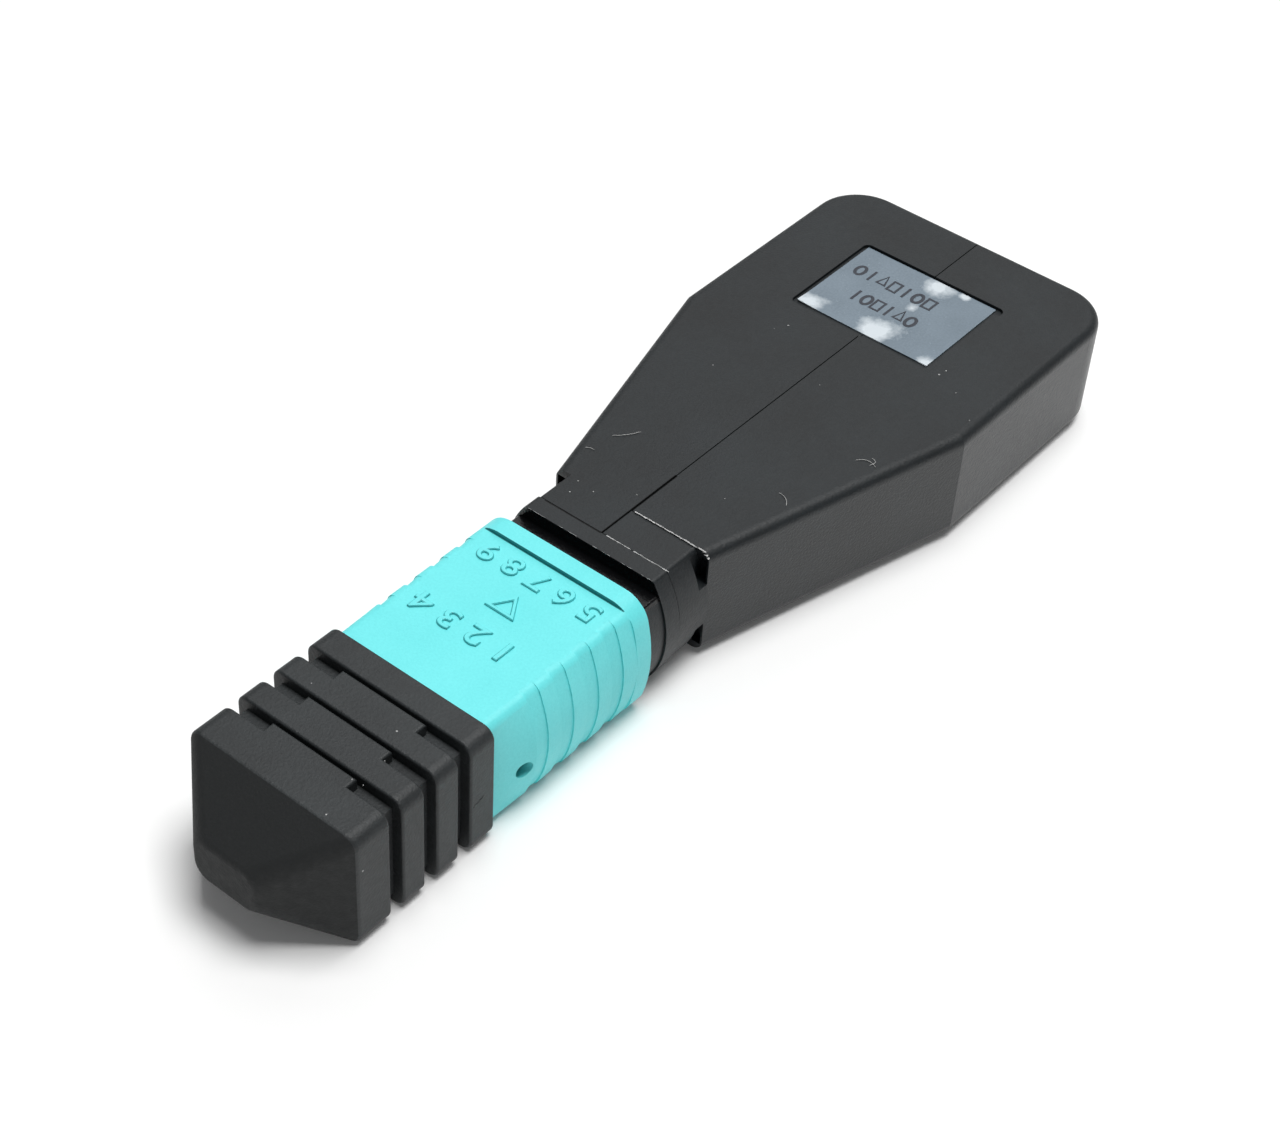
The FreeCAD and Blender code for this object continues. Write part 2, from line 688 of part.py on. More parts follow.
def build_housing_half(label, turned):
    """One moulding of the housing; the other is the same moulding turned half a turn about X."""
    body = new_body(label)
    height = dim("housing_height")
    pad(body, "shell", "XY_Plane", ZERO, height, lambda sketch: housing_plan(sketch, ZERO), midplane=True)

    def outer_edge(edge):
        heights = [vertex.Point.z for vertex in edge.Vertexes]
        level = abs(heights[0] - heights[-1]) < 1e-6 and abs(abs(heights[0]) - TOP.value) < 1e-6
        middle = edge.valueAt((edge.FirstParameter + edge.LastParameter) / 2)
        return level and middle.y > 1e-3 and middle.x < HOUSING_FRONT.value - 1e-3

    fillet(body, "edge_rounds", dim("edge_round"), outer_edge)
    pocket(body, "cavity", "XY_Plane", ZERO, CAVITY_Z * 2,
           lambda sketch: housing_plan(sketch, dim("wall")), midplane=True)
    waist_y = half("waist_width") + dim("fit_gap")
    waist_z = half("waist_height") + dim("fit_gap")
    pocket(body, "waist_opening", "YZ_Plane", HOUSING_FRONT, dim("front_wall"),
           lambda sketch: box_outline(sketch, ZERO, waist_y, -waist_z, waist_z))
    pad(body, "tongue", "YZ_Plane", HOUSING_FRONT, dim("collar_length") - dim("fit_gap"),
        lambda sketch: box_outline(sketch, ZERO, dim("tongue_width"), -TOP,
                                   dim("tongue_depth") - TOP))
    seam_z = TOP - dim("parting_depth")

    def parting_lines(sketch, gap):
        box_outline(sketch, ZERO, gap, seam_z, TOP + OVERCUT)
        box_outline(sketch, ZERO, gap, -TOP - OVERCUT, -seam_z)

    # The two mouldings meet in a fine line, which gapes a little towards the front.
    pocket(body, "parting_lines", "YZ_Plane", COLLAR_FRONT, COLLAR_FRONT - HOUSING_REAR,
           lambda sketch: parting_lines(sketch, dim("parting_gap")))
    pocket(body, "open_parting_lines", "YZ_Plane", COLLAR_FRONT, dim("parting_open_length"),
           lambda sketch: parting_lines(sketch, dim("parting_open")))
    pocket(body, "rear_parting_line", "YZ_Plane", HOUSING_REAR, dim("parting_depth"),
           lambda sketch: box_outline(sketch, ZERO, dim("parting_gap"), -TOP, TOP), forward=True)
    pocket_y = dim("notch_inside")
    low = dim("notch_low")
    high = low + dim("pocket_height")

    def corner_pockets(sketch):
        box_outline(sketch, pocket_y, pocket_y + dim("pocket_width"), low, high)
        box_outline(sketch, pocket_y, pocket_y + dim("pocket_width"), -high, -low)

    pocket(body, "corner_pockets", "YZ_Plane", HOUSING_FRONT, dim("pocket_depth"), corner_pockets)
    recess_front = HOUSING_FRONT - dim("recess_back")
    recess_rear = recess_front - dim("recess_length")
    corner = dim("recess_corner")
    edge_y = half("recess_width")

    def recess(sketch):
        points = [(recess_rear, ZERO), (recess_front, ZERO), (recess_front, edge_y - corner),
                  (recess_front - corner, edge_y), (recess_rear + corner, edge_y),
                  (recess_rear, edge_y - corner)]
        outline(sketch, points, {2: (corner, True), 4: (corner, True)})

    pocket(body, "top_recess", "XY_Plane", TOP, dim("recess_depth"), recess)
    pocket(body, "bottom_recess", "XY_Plane", -TOP, dim("recess_depth"), recess, forward=True)
    post_x = HOUSING_FRONT - dim("post_back")
    root_z = CAVITY_Z + dim("post_root")
    pad(body, "post", "XZ_Plane", ZERO, dim("post_depth"), lambda sketch: box_outline(
        sketch, post_x - half("post_length"), post_x + half("post_length"), -root_z, root_z),
        backward=True)
    front_x = HOUSING_FRONT - half("front_wall")
    front_z = (TOP + waist_z) / 2
    spots = ((post_x, dim("pin_offset"), half("pin_width")), (front_x, front_z, half("front_pin_width")))

    def pins(sketch):
        for x, z, radius in spots:
            round_hole(sketch, x, z, radius)

    def sockets(sketch):
        for x, z, radius in spots:
            round_hole(sketch, x, -z, radius + dim("fit_gap"))

    pad(body, "pins", "XZ_Plane", ZERO, dim("pin_length"), pins)
    pocket(body, "sockets", "XZ_Plane", ZERO, dim("pin_length") + dim("slide_gap"), sockets)
    if turned:
        body.Placement = FreeCAD.Placement(
            FreeCAD.Vector(), FreeCAD.Rotation(FreeCAD.Vector(1, 0, 0), 180))
    return body


def build_label():
    body = new_body("label")
    margin = dim("label_margin")
    centre_x = HOUSING_FRONT - dim("recess_back") - half("recess_length")
    pad(body, "film", "XY_Plane", TOP - dim("recess_depth"), dim("label_thickness"),
        lambda sketch: rounded_box(sketch, half("recess_length") - margin,
                                   half("recess_width") - margin, dim("recess_corner"), centre_x))
    return body


def build_cap():
    body = new_body("dust_cap")
    half_y = half("cap_width")
    half_z = half("cap_height")
    pad(body, "sleeve", "YZ_Plane", COUPLING_FRONT, dim("cap_length"),
        lambda sketch: rounded_box(sketch, half_y, half_z, dim("cap_corner")))
    loft(body, "nose", [
        (CAP_FRONT, lambda sketch: rounded_box(sketch, half_y, half_z, dim("cap_corner"))),
        (CAP_FRONT + dim("cap_nose_length"), lambda sketch: rounded_box(
            sketch, half("cap_tip_width"), half("cap_tip_height"), dim("cap_tip_corner")))])
    tip_x = (CAP_FRONT + dim("cap_nose_length")).value
    brow_x = CAP_FRONT.value

    def stands_at(edge, x):
        return all(abs(vertex.Point.x - x) < 1e-6 for vertex in edge.Vertexes)

    fillet(body, "tip_round", dim("cap_tip_round"), lambda edge: stands_at(edge, tip_x))
    fillet(body, "brow_round", dim("cap_brow_round"), lambda edge: stands_at(edge, brow_x))
    groove_rear = COUPLING_FRONT + dim("cap_first_groove") + dim("cap_ring_pitch") * (GROOVE_COUNT - 1)
    core_z = BORE_Z + dim("cap_core_wall")
    core_y = half_y - (half_z - core_z)
    tab = half("cap_tab_width")
    out_y = half_y + OVERCUT
    out_z = half_z + OVERCUT

    def side_grooves(sketch):
        for sign in (1, -1):
            points = [(tab, out_z), (out_y, out_z), (out_y, -out_z), (tab, -out_z),
                      (tab, -core_z), (core_y, -core_z), (core_y, core_z), (tab, core_z)]
            outline(sketch, [(u * sign, v) for u, v in points])

    def slits(sketch):
        box_outline(sketch, -tab, tab, core_z, out_z)
        box_outline(sketch, -tab, tab, -out_z, -core_z)

    wide = pocket(body, "side_grooves", "YZ_Plane", groove_rear, dim("cap_groove"), side_grooves,
                  forward=True)
    repeat_along_x(body, "side_groove_row", wide, dim("cap_ring_pitch"), GROOVE_COUNT)
    narrow = pocket(body, "slits", "YZ_Plane", groove_rear, dim("cap_slit"), slits, forward=True)
    repeat_along_x(body, "slit_row", narrow, dim("cap_ring_pitch"), GROOVE_COUNT)
    groove_front = (groove_rear + dim("cap_groove")).value

    def ring_edge(edge):
        """An outer edge that runs round a ring, or along the side of a ring's middle tab."""
        ends = [vertex.Point for vertex in edge.Vertexes]
        if any(end.x > groove_front + 1e-6 for end in ends):
            return False
        on_top = [abs(abs(end.z) - half_z.value) < 1e-6 for end in ends]
        on_side = [abs(abs(end.y) - half_y.value) < 1e-6 for end in ends]
        on_tab = [abs(abs(end.y) - tab.value) < 1e-6 for end in ends]
        outside = all(top or side for top, side in zip(on_top, on_side))
        level = abs(ends[0].x - ends[-1].x) < 1e-6
        return level and outside or all(on_top) and all(on_tab)

    fillet(body, "ring_rounds", dim("cap_ring_round"), ring_edge)
    depth = dim("cap_room") - COUPLING_FRONT
    pocket(body, "plug_room", "YZ_Plane", COUPLING_FRONT, depth,
           lambda sketch: centred_box(sketch, BORE_Y, BORE_Z), forward=True)
    rib_z = half("nose_height") + dim("fit_gap")
    rib_length = dim("nose_reach")

    def crush_ribs(sketch):
        place = half("cap_rib_place")
        width = half("cap_rib_width")
        for centre in (place, -place):
            box_outline(sketch, centre - width, centre + width, rib_z, BORE_Z + dim("fit_gap"))
            box_outline(sketch, centre - width, centre + width, -BORE_Z - dim("fit_gap"), -rib_z)

    pad(body, "crush_ribs", "YZ_Plane", COUPLING_FRONT + dim("fit_gap"), rib_length, crush_ribs)
    return body


def feature_from(label, shape, x=ZERO, y=ZERO, turn=0):
    """A piece from a ready shape, turned about Y and placed at x and y."""
    feature = doc.addObject("Part::Feature", label)
    feature.Label = label
    feature.Shape = shape
    feature.Placement = FreeCAD.Placement(
        FreeCAD.Vector(x.value, y.value, 0), FreeCAD.Rotation(FreeCAD.Vector(0, 1, 0), turn))
    feature.setExpression(".Placement.Base.x", x.text)
    feature.setExpression(".Placement.Base.y", y.text)
    return feature


def round_sweep(path, radius):
    """A round wire along a path that starts at the path's first point."""
    start = path.Edges[0].valueAt(path.Edges[0].FirstParameter)
    along = path.Edges[0].tangentAt(path.Edges[0].FirstParameter)
    section = Part.Wire([Part.makeCircle(radius, start, along)])
    return path.makePipeShell([section], True, False)


def build_return_spring(label, side):
    """A small round coil between an ear of the plug body and the coupling's pocket."""
    wire = half("return_wire")
    radius = half("return_coil") - wire
    height = dim("return_length") - (wire + dim("seat_gap")) * 2
    helix = Part.makeHelix((height / dim("return_turns")).value, height.value, radius.value)
    coil = round_sweep(Part.Wire(helix.Edges), wire.value)
    return feature_from(label, coil, EAR_FRONT + dim("seat_gap") + wire, RETURN_Y * side, 90)


def oval_coil_path(run, radius, slope, turns):
    """A coil about Z: half turns joined by straight runs along Y, all climbing at one slope."""
    half_turn = math.pi * radius * slope
    straight = 2 * run * slope
    edges = []
    level = 0.0
    for number in range(2 * turns):
        sign = 1 if number % 2 == 0 else -1
        bend = Part.makeHelix(2 * half_turn, half_turn, radius)
        bend.rotate(FreeCAD.Vector(), FreeCAD.Vector(0, 0, 1), 0 if sign > 0 else 180)
        bend.translate(FreeCAD.Vector(0, sign * run, level))
        edges.extend(bend.Edges)
        level += half_turn
        start = FreeCAD.Vector(-sign * radius, sign * run, level)
        level += straight
        end = FreeCAD.Vector(-sign * radius, -sign * run, level)
        edges.append(Part.LineSegment(start, end).toShape())
    return Part.Wire(edges[:-1])


def build_ferrule_spring():
    """The oval coil that presses the ferrule forward, between the keeper and the spring push."""
    wire = half("ferrule_wire")
    run = dim("ferrule_coil_run").value
    radius = dim("ferrule_coil_radius").value
    turns = int(dim("ferrule_coil_turns").value)
    height = dim("ferrule_coil_length") - (wire + dim("seat_gap")) * 2
    path_length = turns * 2 * math.pi * radius + (2 * turns - 1) * 2 * run
    coil = round_sweep(oval_coil_path(run, radius, height.value / path_length, turns), wire.value)
    return feature_from("ferrule_spring", coil, PUSH_FRONT + dim("seat_gap") + wire, ZERO, 90)


def fibre_path(offset, radius):
    """Run rearward beside the axis, flare out, turn round the loop's centre and come back mirrored."""
    start_x = BOOT_REAR.value
    flare_x = TAIL_REAR.value - dim("flare_gap").value
    rear_room = dim("wall") + dim("ferrule_travel") + dim("loop_rear_gap")
    centre_x = (HOUSING_REAR + rear_room + LOOP_RADIUS).value
    flare = dim("flare_radius").value
    span = flare_x - centre_x
    lift = offset + flare
    angle = math.asin((radius + flare) / math.hypot(span, lift)) - math.atan2(lift, span)

    def place(back, out):
        return FreeCAD.Vector(flare_x - back, out, 0)

    def on_flare(turn):
        return place(flare * math.sin(turn), lift - flare * math.cos(turn))

    leave = on_flare(angle)
    join = place(span - radius * math.sin(angle), radius * math.cos(angle))
    half_way = [
        Part.LineSegment(place(flare_x - start_x, offset), place(0, offset)),
        Part.Arc(place(0, offset), on_flare(angle / 2), leave),
        Part.LineSegment(leave, join),
    ]

    def mirrored(vector):
        return FreeCAD.Vector(vector.x, -vector.y, vector.z)

    edges = [item.toShape() for item in half_way]
    edges.append(Part.Arc(join, place(span + radius, 0), mirrored(join)).toShape())
    edges.append(Part.LineSegment(mirrored(join), mirrored(leave)).toShape())
    edges.append(Part.Arc(mirrored(leave), mirrored(on_flare(angle / 2)), place(0, -offset)).toShape())
    edges.append(Part.LineSegment(place(0, -offset), place(flare_x - start_x, -offset)).toShape())
    return Part.Wire(edges)


def build_fibre_loop(number):
    """Loop number 1 joins the two outermost fibres, and the last joins the two in the middle."""
    offset = (LOOP_COUNT - number + 0.5) * dim("fibre_pitch").value
    radius = LOOP_RADIUS.value - (number - 1) * dim("loop_step").value
    return feature_from(f"fibre_loop_{number}",
                        round_sweep(fibre_path(offset, radius), dim("fibre_width").value / 2))


pieces = [
    build_cap(),
    build_coupling(),
    build_plug_body(),
    build_ferrule(),
    build_boot(),
    build_keeper(),
    build_ferrule_spring(),
    build_spring_push(),
    build_return_spring("coupling_spring_left", -1),
    build_return_spring("coupling_spring_right", 1),
    build_housing_half("housing_left", True),
    build_housing_half("housing_right", False),
    build_label(),
]
pieces += [build_fibre_loop(number) for number in range(1, LOOP_COUNT + 1)]
doc.recompute()

for item in doc.Objects:
    if "Invalid" in item.State or "Error" in item.State:
        raise RuntimeError(f"{item.Label} did not build: {item.State}")
for piece in pieces:
    if piece.Shape.isNull() or not piece.Shape.isValid():
        raise RuntimeError(f"{piece.Label} has no valid shape")
os.makedirs("parts", exist_ok=True)
for piece in pieces:
    piece.Shape.exportStep(f"parts/{piece.Label}.step")
    print(piece.Label, len(piece.Shape.Solids), round(piece.Shape.Volume, 3))
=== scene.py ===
"""Looks of the multi-fibre loopback plug: finishes, coils, marks, film, wear, light and camera."""

import logging
import math
import random
from dataclasses import dataclass, field
from enum import Enum

import bpy
from mathutils import Matrix, Vector

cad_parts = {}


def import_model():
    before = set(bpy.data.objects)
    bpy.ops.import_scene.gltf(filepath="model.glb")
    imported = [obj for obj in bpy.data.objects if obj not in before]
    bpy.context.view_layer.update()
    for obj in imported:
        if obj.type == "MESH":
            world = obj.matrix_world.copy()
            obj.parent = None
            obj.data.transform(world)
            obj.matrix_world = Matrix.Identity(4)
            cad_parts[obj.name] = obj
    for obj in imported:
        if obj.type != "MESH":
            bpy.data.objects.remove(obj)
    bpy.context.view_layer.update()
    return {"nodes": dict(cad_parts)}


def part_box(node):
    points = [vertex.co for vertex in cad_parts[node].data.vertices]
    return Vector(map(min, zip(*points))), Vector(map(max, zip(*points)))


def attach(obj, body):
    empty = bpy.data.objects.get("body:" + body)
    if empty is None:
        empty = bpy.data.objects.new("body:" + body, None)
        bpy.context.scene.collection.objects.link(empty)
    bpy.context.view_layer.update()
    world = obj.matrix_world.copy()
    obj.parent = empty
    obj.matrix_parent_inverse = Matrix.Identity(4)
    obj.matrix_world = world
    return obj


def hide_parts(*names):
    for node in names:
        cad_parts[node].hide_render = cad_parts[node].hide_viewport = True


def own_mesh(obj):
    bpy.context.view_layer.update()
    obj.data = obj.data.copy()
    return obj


log = logging.getLogger("loopback_plug")

Colour = tuple[float, float, float]
Point = tuple[float, float, float]

MM = 0.001  # one millimetre in metres
FAR = 1000.0  # a zone's edge this far out isn't tested, in millimetres
BUMP_DISTANCE = 0.000035  # how far full grain height stands out, in metres
COAT_ROUGHNESS = 0.12


class Axis(Enum):
    """Directions that a modifier, a turn or a zone's edge can use."""

    X = "X"
    Y = "Y"
    Z = "Z"


# --- modelling helpers ----------------------------------------------------------------------


def mm(*values: float) -> Vector:
    """Turn millimetres into a vector in metres.

    Args:
        values: Three coordinates in millimetres.

    Returns:
        The same point in metres.
    """
    return Vector(value * MM for value in values)


def deselect_all() -> None:
    """Leave edit mode and clear the selection, so that an operator acts on new work only."""
    if bpy.context.object is not None and bpy.context.object.mode != "OBJECT":
        bpy.ops.object.mode_set(mode="OBJECT")
    bpy.ops.object.select_all(action="DESELECT")


def pick(piece: bpy.types.Object) -> None:
    """Make a piece the only selected and active one."""
    deselect_all()
    piece.select_set(True)
    bpy.context.view_layer.objects.active = piece


def rename(name: str) -> bpy.types.Object:
    """Name the object that was just added and return it."""
    piece = bpy.context.object
    piece.name = name
    piece.data.name = name
    return piece


def freeze(piece: bpy.types.Object) -> None:
    """Put a piece's place, turn and size into its mesh."""
    pick(piece)
    bpy.ops.object.transform_apply(location=True, rotation=True, scale=True)


def apply_modifier(piece: bpy.types.Object, kind: str, **settings: object) -> None:
    """Add a modifier, set it up and apply it.

    Args:
        piece: The mesh object to change.
        kind: Blender's name of the modifier type.
        settings: Values for the modifier's own properties.
    """
    pick(piece)
    modifier = piece.modifiers.new(kind.title(), kind)
    for key, value in settings.items():
        setattr(modifier, key, value)
    bpy.ops.object.modifier_apply(modifier=modifier.name)


def face_outwards() -> None:
    """Turn every face of the mesh in edit mode outwards, then leave edit mode."""
    bpy.ops.mesh.select_all(action="SELECT")
    bpy.ops.mesh.normals_make_consistent(inside=False)
    bpy.ops.object.mode_set(mode="OBJECT")


def smooth_by_angle(piece: bpy.types.Object, degrees: float = 35.0) -> None:
    """Shade a mesh smooth except across edges sharper than the angle."""
    pick(piece)
    bpy.ops.object.shade_smooth_by_angle(angle=math.radians(degrees))


def dress(piece: bpy.types.Object, material: bpy.types.Material) -> None:
    """Give a piece one material in its only slot."""
    piece.data.materials.clear()
    piece.data.materials.append(material)


def join(pieces: list[bpy.types.Object], name: str) -> bpy.types.Object:
    """Join several meshes into one piece.

    Args:
        pieces: The meshes to join.
        name: The joined piece's name.

    Returns:
        The joined piece.
    """
    for piece in pieces:
        freeze(piece)
    deselect_all()
    for piece in pieces:
        piece.select_set(True)
    bpy.context.view_layer.objects.active = pieces[0]
    bpy.ops.object.join()
    return rename(name)


def mount(piece: bpy.types.Object, body: str,
          material: bpy.types.Material) -> bpy.types.Object:
    """Finish a new piece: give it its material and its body.

    Args:
        piece: The new piece.
        body: The body that it rides on.
        material: Its material.

    Returns:
        The same piece.
    """
    dress(piece, material)
    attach(piece, body)
    log.info("built %s", piece.name)
    return piece


# --- finishes -------------------------------------------------------------------------------


class NodeBench:
    """A small workbench for the nodes of one material or group."""

    def __init__(self, tree: bpy.types.NodeTree) -> None:
        """Start on an empty tree."""
        self.tree = tree
        self.tree.nodes.clear()

    def add(self, kind: str, **settings: object) -> bpy.types.Node:
        """Add a node and set its properties.

        Args:
            kind: Blender's node type name.
            settings: Values for the node's own properties.

        Returns:
            The new node.
        """
        node = self.tree.nodes.new(kind)
        for key, value in settings.items():
            setattr(node, key, value)
        return node

    def link(self, source: bpy.types.NodeSocket, target: bpy.types.NodeSocket) -> None:
        """Join two sockets."""
        self.tree.links.new(source, target)

    def feed(self, node: bpy.types.Node, **values: object) -> bpy.types.Node:
        """Set or link a node's inputs by name, with spaces written as underscores.

        Args:
            node: The node whose inputs are set.
            values: A plain value or a socket for each input.

        Returns:
            The same node.
        """
        for key, value in values.items():
            socket = node.inputs[key.replace("_", " ")]
            if isinstance(value, bpy.types.NodeSocket):
                self.link(value, socket)
            else:
                socket.default_value = value
        return node

    def place(self) -> bpy.types.NodeSocket:
        """Hand over the piece's own coordinates."""
        return self.add("ShaderNodeTexCoord").outputs["Object"]

    def split(self, place: bpy.types.NodeSocket) -> dict[Axis, bpy.types.NodeSocket]:
        """Split coordinates into one socket for each axis."""
        parts = self.feed(self.add("ShaderNodeSeparateXYZ"), Vector=place)
        return {axis: parts.outputs[axis.value] for axis in Axis}

    def noise(self, place: bpy.types.NodeSocket, scale: object, detail: float,
              roughness: float) -> bpy.types.NodeSocket:
        """Add a noise texture.

        Args:
            place: The coordinates it is laid on.
            scale: Its scale, as a value or a socket.
            detail: How many layers of finer noise it has.
            roughness: How strong the finer layers are.

        Returns:
            The noise's value.
        """
        return self.feed(self.add("ShaderNodeTexNoise"), Vector=place, Scale=scale,
                         Detail=detail, Roughness=roughness).outputs["Fac"]

    def show(self, kind: str, shader: bpy.types.NodeSocket) -> None:
        """Add the output node of this kind and give it the finished shader."""
        self.link(shader, self.add(kind).inputs["Surface"])

    def maths(self, operation: str, first: object, second: object = 0.0) -> bpy.types.NodeSocket:
        """Add a Math node.

        Args:
            operation: Blender's name of the operation.
            first: Its first value or socket.
            second: Its second value or socket.

        Returns:
            The node's result.
        """
        node = self.add("ShaderNodeMath", operation=operation)
        for number, value in enumerate((first, second)):
            if isinstance(value, bpy.types.NodeSocket):
                self.link(value, node.inputs[number])
            else:
                node.inputs[number].default_value = value
        return node.outputs[0]

    def span(self, value: bpy.types.NodeSocket, low: float, high: float,
             to_low: float = 0.0, to_high: float = 1.0) -> bpy.types.NodeSocket:
        """Map a value from one span to another, held at the ends.

        Args:
            value: The socket to map.
            low: Where the span starts.
            high: Where the span ends.
            to_low: The result at the start.
            to_high: The result at the end.

        Returns:
            The mapped value.
        """
        node = self.add("ShaderNodeMapRange")
        self.feed(node, Value=value, From_Min=low, From_Max=high, To_Min=to_low, To_Max=to_high)
        return node.outputs["Result"]

    def mix(self, amount: object, first: object, second: object) -> bpy.types.NodeSocket:
        """Mix two colours by an amount.

        Args:
            amount: How much of the second colour, as a value or a socket.
            first: The colour at zero.
            second: The colour at one.

        Returns:
            The mixed colour.
        """
        node = self.add("ShaderNodeMix", data_type="RGBA")
        for number, value in ((0, amount), (6, first), (7, second)):
            if isinstance(value, bpy.types.NodeSocket):
                self.link(value, node.inputs[number])
            elif number == 0:
                node.inputs[number].default_value = value
            else:
                node.inputs[number].default_value = (*value, 1.0)
        return node.outputs[2]


def make_group(name: str, inputs: dict[str, float],
               outputs: tuple[str, ...]) -> bpy.types.NodeTree:
    """Make an empty shader node group with float sockets.

    Args:
        name: The group's name.
        inputs: Default value of each input.
        outputs: Names of the outputs.

    Returns:
        The new group.
    """
    group = bpy.data.node_groups.new(name, "ShaderNodeTree")
    for key, value in inputs.items():
        socket = group.interface.new_socket(key, in_out="INPUT", socket_type="NodeSocketFloat")
        socket.default_value = value
    for key in outputs:
        group.interface.new_socket(key, in_out="OUTPUT", socket_type="NodeSocketFloat")
    return group


def grain_group() -> bpy.types.NodeTree:
    """Build the moulded surface: fine grain, soft unevenness and rubbed patches.

    Returns:
        A group with the outputs Height, Cloud and Rub.
    """
    group = make_group("moulded_surface", {"Grain": 5500.0, "Cloud": 180.0},
                       ("Height", "Cloud", "Rub"))
    bench = NodeBench(group)
    given = bench.add("NodeGroupInput").outputs
    place = bench.place()
    fine = bench.noise(place, given["Grain"], 3.0, 0.6)
    cloud = bench.noise(place, given["Cloud"], 4.0, 0.55)
    rub = bench.noise(place, bench.maths("MULTIPLY", given["Cloud"], 9.0), 5.0, 0.7)
    soft = bench.span(cloud, 0.3, 0.7, 0.0, 0.6)
    sharp = bench.span(fine, 0.36, 0.64, 0.0, 0.4)
    bench.feed(bench.add("NodeGroupOutput"), Height=fine, Cloud=bench.maths("ADD", soft, sharp),
               Rub=bench.span(rub, 0.4, 0.68))
    return group


def dust_group() -> bpy.types.NodeTree:
    """Build the settled dust: rare small specks of uneven size.

    Returns:
        A group with the output Speck.
    """
    group = make_group("dust", {"Spacing": 1900.0, "Size": 0.17, "Share": 0.1}, ("Speck",))
    bench = NodeBench(group)
    given = bench.add("NodeGroupInput").outputs
    cells = bench.feed(bench.add("ShaderNodeTexVoronoi"), Vector=bench.place(),
                       Scale=given["Spacing"]).outputs
    lot = bench.feed(bench.add("ShaderNodeSeparateColor"), Color=cells["Color"]).outputs
    size = bench.maths("MULTIPLY", given["Size"], lot["Green"])
    inside = bench.maths("LESS_THAN", cells["Distance"], size)
    chosen = bench.maths("LESS_THAN", lot["Red"], given["Share"])
    bench.feed(bench.add("NodeGroupOutput"), Speck=bench.maths("MULTIPLY", inside, chosen))
    return group


def painted_reflection_group() -> bpy.types.NodeTree:
    """Build a painted reflection on the film: a pale soft spot with an uneven rim.

    Returns:
        A group with the output Mask. Its inputs are the spot's middle and its reach, in metres.
    """
    group = make_group("painted_glare", {"Along": 0.0, "Across": 0.0, "Reach": 0.001}, ("Mask",))
    bench = NodeBench(group)
    given = bench.add("NodeGroupInput").outputs
    place = bench.place()
    parts = bench.split(place)
    along = bench.maths("SUBTRACT", parts[Axis.X], given["Along"])
    across = bench.maths("SUBTRACT", parts[Axis.Y], given["Across"])
    away = bench.maths("SQRT", bench.maths("ADD", bench.maths("MULTIPLY", along, along),
                                           bench.maths("MULTIPLY", across, across)))
    ragged = bench.noise(place, 420.0, 6.0, 0.6)
    near = bench.maths("ADD", bench.maths("DIVIDE", away, given["Reach"]),
                       bench.maths("MULTIPLY", ragged, 3.0))
    bench.feed(bench.add("NodeGroupOutput"), Mask=bench.span(near, 2.75, 1.95))
    return group


@dataclass(frozen=True)
class Zone:
    """A box of space, in millimetres, inside which a piece looks different."""

    low: Point
    high: Point
    colour: Colour
    share: float = 1.0

    def mask(self, bench: NodeBench) -> bpy.types.NodeSocket:
        """Make the zone's mask on the piece's own coordinates."""
        parts = bench.split(bench.place())
        tests = []
        for axis, low, high in zip(Axis, self.low, self.high):
            for operation, edge in (("GREATER_THAN", low), ("LESS_THAN", high)):
                if abs(edge) < FAR:
                    tests.append(bench.maths(operation, parts[axis], edge * MM))
        inside = tests[0]
        for test in tests[1:]:
            inside = bench.maths("MULTIPLY", inside, test)
        return inside


